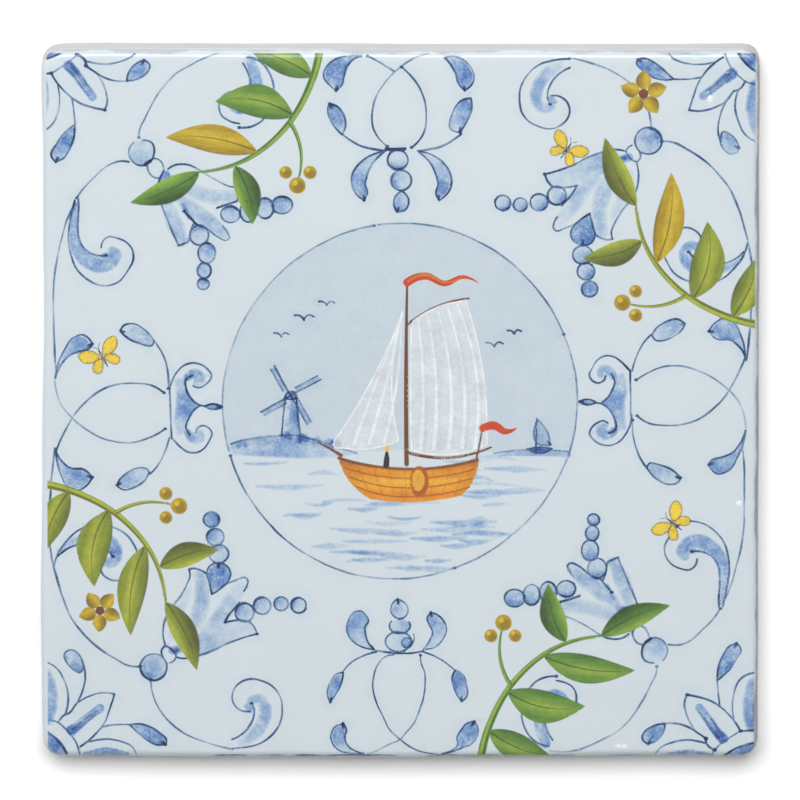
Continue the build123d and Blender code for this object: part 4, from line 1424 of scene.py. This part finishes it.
def build_tile(settings):
    """The tile as one closed skin: the painted face with its roll, the sides, the arris and the back."""
    body, painting = Body(), paint_tile(settings)
    loose = face_points(painting, body, settings)
    rough = triangulate(body.edge, loose)
    face, face_triangles = triangulate(body.edge, np.vstack((loose, guards(painting, *rough))))
    z, face_normals, shade_and_wear = roll_over(face, body)

    rings, ring_normals = side_rings(body, settings.back_arris / MM)
    foot, lattice = rings[-1, :, :2], hex_grid(BACK_HALF, BACK_STEP)
    back, back_triangles = triangulate(foot, lattice[signed_gap(lattice, foot) < -BACK_MARGIN])
    back = back[body.count :]
    levels = len(face) + np.arange(len(rings) * body.count).reshape(len(rings), body.count)
    levels = np.vstack((np.arange(body.count), levels))
    side_triangles = strip_triangles(levels)
    numbers = np.r_[levels[-1], levels[-1, -1] + 1 + np.arange(len(back))]
    back_triangles = numbers[back_triangles][:, ::-1]

    places = np.vstack((np.column_stack((face, z)), rings.reshape(-1, 3), np.pad(back, ((0, 0), (0, 1)))))
    places = np.clip(places, np.array(cad_low) / MM, np.array(cad_high) / MM)
    back_normals = np.tile((0.0, 0.0, -1.0), (len(back), 1))
    normals = np.vstack((face_normals, ring_normals.reshape(-1, 3), back_normals))
    triangles = np.vstack((face_triangles, side_triangles, back_triangles))
    bare = np.arange(len(triangles)) >= len(face_triangles)
    mesh = triangle_mesh("glazed_tile", places, triangles, bare.astype(np.int32))

    ink, wash = painting.cobalt(places[:, :2])
    # The painted shade of the rim goes on the face's points only; the sides get none.
    shade_and_wear = np.pad(shade_and_wear, (0, len(places) - len(face)))
    for name, values in (("ink", ink), ("wash", wash), ("shade_and_wear", shade_and_wear)):
        mesh.attributes.new(name, "FLOAT", "POINT").data.foreach_set("value", values.astype(np.float32))
    enamel = np.column_stack(painting.enamel(places[:, :2])).astype(np.float32)
    mesh.attributes.new("enamel", "FLOAT_COLOR", "POINT").data.foreach_set("color", enamel.ravel())
    sheet = np.concatenate((
        on_sheet(face[face_triangles], *FACE_ON_SHEET),
        strips_on_sheet(body.count, len(levels)),
        on_sheet(places[back_triangles, :2], *BACK_ON_SHEET),
    ))
    mesh.uv_layers.new(name="OFBake").uv.foreach_set("vector", sheet.astype(np.float32).ravel())
    mesh.normals_split_custom_set_from_vertices(normals.tolist())
    return mesh


# Materials

WASH_ABSORBS = (1.32, 0.86, 0.27)  # how strongly a wash of depth 1 takes out red, green and blue
INK_ABSORBS = (3.3, 2.5, 1.65)
INK_IN_WASH = 0.08  # share of a wash that dries as deep as ink
ENAMEL_COVER = 0.98
GLAZE_ROUGHNESS, GLAZE_IOR = 0.2, 1.5
CLAY_ROUGHNESS, LIP_SMOOTHS = 0.75, 0.25
LIP_HEIGHT, LIP_SOFT, LIP_COVER = 2.2, 0.7, 0.3  # the lip of glaze on the sides: how far, how soft, how much
# Where the painting ends, and over what width; it runs over the bottom edge
PAINTED_LEFT, PAINTED_RIGHT, PAINTED_TOP, PAINTED_SOFT = -64.1, 64.25, 64.4, 0.2
# Size of the grains and of the clouds in millimetres, and how much each of them varies
GRAINS = {
    "glaze": (0.5, 14.0, 0.02, 0.06),
    "wash": (0.45, 2.2, 2.0, 3.0),
    "ink": (0.42, 4.0, 1.6, 1.2),
    "enamel": (0.6, 2.6, 0.45, 0.7),
    "ripple": (2.5, 16.0, 0.25, 1.0),
    "clay": (0.5, 9.0, 0.3, 0.2),
    "runs": (1.6, 26.0, 1.0, 7.0),
}
LEAST_WASH, LEAST_INK = 0.2, 0.3  # the grain never thins a wash or a line to less than this


def new_material(name):
    """An empty node material, its node tree and its Principled shader."""
    material = bpy.data.materials.new(name)
    material.use_nodes = True
    tree = material.node_tree
    return material, tree, tree.nodes["Principled BSDF"]


def node(tree, kind, **values):
    """A node of a kind, with its settings and, by name, its input values."""
    made = tree.nodes.new(kind)
    for name, value in values.items():
        if hasattr(made, name) and name not in made.inputs:
            setattr(made, name, value)
        else:
            made.inputs[name].default_value = value
    return made


def feed(tree, socket, value):
    """Gives an input a link from a socket, a number, or a colour of three or four channels."""
    if isinstance(value, bpy.types.NodeSocket):
        tree.links.new(value, socket)
    elif socket.type == "RGBA" and len(value) == 3:
        socket.default_value = (*value, 1.0)
    else:
        socket.default_value = value


def calc(tree, operation, *values):
    """A Math node that takes sockets or plain numbers."""
    made = node(tree, "ShaderNodeMath", operation=operation)
    for socket, value in zip(made.inputs, values):
        feed(tree, socket, value)
    return made.outputs[0]


def clamped(tree, value):
    """A value held between 0 and 1."""
    return calc(tree, "MINIMUM", calc(tree, "MAXIMUM", value, 0.0), 1.0)


def mixed(tree, kind, share, first, second):
    """A colour Mix node that takes sockets or plain values."""
    made = node(tree, "ShaderNodeMix", data_type="RGBA", blend_type=kind)
    for number, value in ((0, share), (6, first), (7, second)):
        feed(tree, made.inputs[number], value)
    return made.outputs[2]


def attribute(tree, name):
    """The node that reads an attribute of the mesh."""
    return node(tree, "ShaderNodeAttribute", attribute_name=name)


def as_backdrop(tree):
    """1 for rays that see the backdrop, straight, mirrored or let through, and 0 for lighting rays."""
    ray = node(tree, "ShaderNodeLightPath")
    straight = calc(tree, "MAXIMUM", ray.outputs["Is Camera Ray"], ray.outputs["Is Glossy Ray"])
    return calc(tree, "MAXIMUM", straight, ray.outputs["Is Transmission Ray"])


def new_group(name, inputs, outputs):
    """An empty node group with named sockets."""
    group = bpy.data.node_groups.new(name, "ShaderNodeTree")
    for label, kind in inputs:
        group.interface.new_socket(label, in_out="INPUT", socket_type=kind)
    for label, kind in outputs:
        group.interface.new_socket(label, in_out="OUTPUT", socket_type=kind)
    return group, group.nodes.new("NodeGroupInput"), group.nodes.new("NodeGroupOutput")


def cobalt_group():
    """Colour seen through cobalt: each channel times e to the minus of what wash and ink take out of it."""
    group, given, out = new_group(
        "cobalt_on_glaze",
        (("Glaze", "NodeSocketColor"), ("Wash", "NodeSocketFloat"), ("Ink", "NodeSocketFloat")),
        (("Colour", "NodeSocketColor"),),
    )
    join = group.nodes.new("ShaderNodeCombineColor")
    for channel in range(3):
        wash = calc(group, "MULTIPLY", given.outputs["Wash"], WASH_ABSORBS[channel])
        ink = calc(group, "MULTIPLY", given.outputs["Ink"], INK_ABSORBS[channel])
        taken = calc(group, "MULTIPLY", calc(group, "ADD", wash, ink), -1.0)
        group.links.new(calc(group, "EXPONENT", taken), join.inputs[channel])
    group.links.new(mixed(group, "MULTIPLY", 1.0, given.outputs["Glaze"], join.outputs[0]), out.inputs[0])
    return group


def grain_group():
    """A value round 1 that varies in fine grains and slow clouds, for pigment and for fired clay."""
    group, given, out = new_group(
        "fired_grain",
        (("Vector", "NodeSocketVector"), ("Grain Size", "NodeSocketFloat"),
         ("Cloud Size", "NodeSocketFloat"), ("Grain", "NodeSocketFloat"), ("Cloud", "NodeSocketFloat")),
        (("Value", "NodeSocketFloat"),),
    )
    total = 1.0
    for size, amount in (("Grain Size", "Grain"), ("Cloud Size", "Cloud")):
        noise = node(group, "ShaderNodeTexNoise", Detail=3.0, Roughness=0.6)
        group.links.new(given.outputs["Vector"], noise.inputs["Vector"])
        group.links.new(calc(group, "DIVIDE", 1.0, given.outputs[size]), noise.inputs["Scale"])
        centred = calc(group, "MULTIPLY", calc(group, "SUBTRACT", noise.outputs[0], 0.5),
                       given.outputs[amount])
        total = calc(group, "ADD", total, centred)
    group.links.new(total, out.inputs[0])
    return group


def place_group(tree, group, **inputs):
    """A node group in a material, fed by the names of its sockets, with underscores for spaces."""
    made = node(tree, "ShaderNodeGroup", node_tree=group)
    for name, value in inputs.items():
        feed(tree, made.inputs[name.replace("_", " ")], value)
    return made.outputs[0]


def grained(tree, group, where, use):
    """The value of the grain group at a place, set for one use."""
    grain_size, cloud_size, grain, cloud = GRAINS[use]
    return place_group(
        tree, group, Vector=where, Grain_Size=grain_size * MM, Cloud_Size=cloud_size * MM,
        Grain=grain, Cloud=cloud,
    )


def add_bump(tree, shader, height, strength, distance):
    """A bump of a height, given a strength and a distance in millimetres, for a shader's normal."""
    bump = node(tree, "ShaderNodeBump", Strength=strength, Distance=distance * MM)
    tree.links.new(height, bump.inputs["Height"])
    tree.links.new(bump.outputs[0], shader.inputs["Normal"])


def painted_part(tree, where):
    """1 on the part of the face that is painted, 0 past its left, right and top ends, with a soft step."""
    part = node(tree, "ShaderNodeSeparateXYZ")
    tree.links.new(where, part.inputs[0])
    margin = calc(tree, "SUBTRACT", part.outputs["X"], PAINTED_LEFT * MM)
    for axis, end in (("X", PAINTED_RIGHT), ("Y", PAINTED_TOP)):
        margin = calc(tree, "MINIMUM", margin, calc(tree, "SUBTRACT", end * MM, part.outputs[axis]))
    return clamped(tree, calc(tree, "ADD", calc(tree, "DIVIDE", margin, PAINTED_SOFT * MM), 0.5))


def painted_glaze(settings, cobalt, grain):
    """Glossy tin glaze with cobalt and enamel painting under it."""
    material, tree, shader = new_material("painted_glaze")
    where = node(tree, "ShaderNodeTexCoord").outputs["Object"]
    painted = painted_part(tree, where)
    # Painted shade: towards the rim on the right and behind, the glaze darkens to the rim colour.
    ground = mixed(tree, "MIX", attribute(tree, "shade_and_wear").outputs["Fac"], settings.glaze, settings.shaded_rim_glaze)
    ground = mixed(tree, "MULTIPLY", 1.0, ground, grained(tree, grain, where, "glaze"))
    thickness = calc(tree, "MAXIMUM", grained(tree, grain, where, "wash"), LEAST_WASH)
    wash = calc(tree, "MULTIPLY", attribute(tree, "wash").outputs["Fac"], thickness)
    wash = calc(tree, "MULTIPLY", wash, painted)
    ink = calc(tree, "MULTIPLY", attribute(tree, "ink").outputs["Fac"], painted)
    ink = calc(tree, "ADD", ink, calc(tree, "MULTIPLY", wash, INK_IN_WASH))
    ink = calc(tree, "MULTIPLY", ink, calc(tree, "MAXIMUM", grained(tree, grain, where, "ink"), LEAST_INK))
    colour = place_group(tree, cobalt, Glaze=ground, Wash=wash, Ink=ink)
    enamel = attribute(tree, "enamel")
    laid = mixed(tree, "MULTIPLY", 1.0, enamel.outputs["Color"], grained(tree, grain, where, "enamel"))
    cover = calc(tree, "MULTIPLY", calc(tree, "MULTIPLY", enamel.outputs["Alpha"], ENAMEL_COVER), painted)
    tree.links.new(mixed(tree, "MIX", cover, colour, laid), shader.inputs["Base Color"])
    shader.inputs["Roughness"].default_value = GLAZE_ROUGHNESS
    shader.inputs["IOR"].default_value = GLAZE_IOR
    add_bump(tree, shader, grained(tree, grain, where, "ripple"), 0.25, 0.1)
    return material


def bare_biscuit(settings, grain):
    """Bare fired clay of the sides and the back, matt and grainy, with an uneven lip of glaze on top."""
    material, tree, shader = new_material("bare_biscuit")
    where = node(tree, "ShaderNodeTexCoord").outputs["Object"]
    clay = grained(tree, grain, where, "clay")
    height = node(tree, "ShaderNodeSeparateXYZ")
    tree.links.new(where, height.inputs[0])
    above = calc(tree, "SUBTRACT", height.outputs["Z"], cad_high.z - LIP_HEIGHT * MM)
    above = calc(tree, "DIVIDE", above, LIP_SOFT * MM)
    runs = calc(tree, "SUBTRACT", grained(tree, grain, where, "runs"), 1.0)
    lip = clamped(tree, calc(tree, "ADD", above, runs))
    ground = mixed(tree, "MIX", calc(tree, "MULTIPLY", lip, LIP_COVER), settings.biscuit, settings.glaze)
    roughness = calc(tree, "SUBTRACT", CLAY_ROUGHNESS, calc(tree, "MULTIPLY", lip, LIP_SMOOTHS))
    tree.links.new(mixed(tree, "MULTIPLY", 1.0, ground, clay), shader.inputs["Base Color"])
    tree.links.new(roughness, shader.inputs["Roughness"])
    add_bump(tree, shader, clay, 0.4, 0.08)
    return material


# Operators and panel

FLOOR_HALF, FLOOR_DROP, FLOOR_WHITE = 6.0, 0.02 * MM, 0.85  # the floor lies just clear of the back
SKY_BRIGHTEST = Vector((-0.5, 0.55, 0.7)).normalized()
AIM = Vector((-0.1 * MM, 0.8 * MM, cad_high.z))  # the place in the middle of the picture
SENSOR, FAR_CLIP = 36.0, 100.0


class TILE_OT_glaze(bpy.types.Operator):
    """Mesh the tile along its painting, and glaze and paint it"""

    bl_idname = "tile.glaze"
    bl_label = "Glaze and Paint the Tile"

    def execute(self, context):
        settings = context.scene.tile_settings
        mesh = build_tile(settings)
        cobalt, grain = cobalt_group(), grain_group()
        mesh.materials.append(painted_glaze(settings, cobalt, grain))
        mesh.materials.append(bare_biscuit(settings, grain))
        piece = bpy.data.objects.new("glazed_tile", mesh)
        context.scene.collection.objects.link(piece)
        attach(piece, "root")
        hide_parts(NODE)
        return {"FINISHED"}


class TILE_OT_stage(bpy.types.Operator):
    """Lay a pale floor, hang a soft lamp and aim the camera down at the tile"""

    bl_idname = "tile.stage"
    bl_label = "Set the Stage"

    def execute(self, context):
        settings = context.scene.stage_settings
        self.lay_floor(context, settings)
        self.light(context, settings)
        self.aim_camera(context, settings)
        context.scene.view_settings.view_transform = "Standard"
        return {"FINISHED"}

    def lay_floor(self, context, settings):
        """A wide white floor just under the tile, paler to the camera so that only the near shadow shows."""
        corners = [(x * FLOOR_HALF, y * FLOOR_HALF, 0.0) for x, y in ((-1, -1), (1, -1), (1, 1), (-1, 1))]
        mesh = bpy.data.meshes.new("floor")
        mesh.from_pydata(corners, [], [(0, 1, 2, 3)])
        material, tree, shader = new_material("white_floor")
        tree.nodes.remove(shader)
        matt = node(tree, "ShaderNodeBsdfDiffuse")
        level = calc(tree, "ADD", calc(tree, "MULTIPLY", as_backdrop(tree), settings.floor_lift),
                     FLOOR_WHITE)
        tree.links.new(level, matt.inputs["Color"])
        tree.links.new(matt.outputs[0], tree.nodes["Material Output"].inputs["Surface"])
        mesh.materials.append(material)
        floor = bpy.data.objects.new("floor", mesh)
        floor.location.z = -FLOOR_DROP
        context.scene.collection.objects.link(floor)

    def light(self, context, settings):
        """A pale sky, one large soft lamp above and beyond the top edge, and a low one on the left."""
        world = bpy.data.worlds.new("studio")
        world.use_nodes = True
        tree = world.node_tree
        sky = tree.nodes["Background"]
        sky.inputs["Color"].default_value = (1.0, 1.0, 1.0, 1.0)
        towards = node(tree, "ShaderNodeVectorMath", operation="DOT_PRODUCT")
        tree.links.new(node(tree, "ShaderNodeTexCoord").outputs["Generated"], towards.inputs[0])
        towards.inputs[1].default_value = SKY_BRIGHTEST
        rise = calc(tree, "ADD", calc(tree, "MULTIPLY", towards.outputs["Value"], 0.5), 0.5)
        glow = calc(tree, "MULTIPLY", calc(tree, "POWER", rise, 2.0), settings.sky_strength)
        tree.links.new(calc(tree, "MAXIMUM", glow, as_backdrop(tree)), sky.inputs["Strength"])
        context.scene.world = world
        for name, power, across, up, place in (
            ("soft_box", settings.key_power, 0.8, 0.62, (-0.02, 0.41, 1.08)),
            ("side_box", settings.side_power, 1.6, 0.6, (-0.72, 0.85, 0.4)),
        ):
            lamp = bpy.data.lights.new(name, "AREA")
            lamp.shape, lamp.energy, lamp.size, lamp.size_y = "RECTANGLE", power, across, up
            box = bpy.data.objects.new(name, lamp)
            box.location = place
            box.rotation_euler = Vector(place).to_track_quat("Z", "Y").to_euler()
            context.scene.collection.objects.link(box)

    def aim_camera(self, context, settings):
        """A long lens above the tile, leaning over towards its top edge so that a strip of that shows."""
        camera = bpy.data.cameras.new("camera")
        camera.lens, camera.sensor_width, camera.clip_end = settings.lens, SENSOR, FAR_CLIP
        eye = bpy.data.objects.new("camera", camera)
        back = Vector((0.0, np.sin(settings.tilt), np.cos(settings.tilt)))
        eye.location = AIM + back * (settings.field * settings.lens / SENSOR)
        eye.rotation_euler = (-settings.tilt, 0.0, 0.0)
        context.scene.collection.objects.link(eye)
        context.scene.camera = eye


class TILE_PT_panel(bpy.types.Panel):
    """The tile's settings and steps"""

    bl_idname = "TILE_PT_panel"
    bl_label = "Painted Wall Tile"
    bl_space_type = "VIEW_3D"
    bl_region_type = "UI"
    bl_category = "Tile"

    def draw(self, context):
        for group, step in (("tile_settings", "tile.glaze"), ("stage_settings", "tile.stage")):
            settings = getattr(context.scene, group)
            for name in settings.__annotations__:
                self.layout.prop(settings, name)
            self.layout.operator(step)


CLASSES = (TileSettings, StageSettings, TILE_OT_glaze, TILE_OT_stage, TILE_PT_panel)


def register():
    for kind in CLASSES:
        bpy.utils.register_class(kind)
    bpy.types.Scene.tile_settings = bpy.props.PointerProperty(type=TileSettings)
    bpy.types.Scene.stage_settings = bpy.props.PointerProperty(type=StageSettings)


def unregister():
    del bpy.types.Scene.stage_settings
    del bpy.types.Scene.tile_settings
    for kind in reversed(CLASSES):
        bpy.utils.unregister_class(kind)


def main():
    """Register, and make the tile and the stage."""
    register()
    bpy.ops.tile.glaze()
    bpy.ops.tile.stage()


if __name__ == "__main__":
    main()
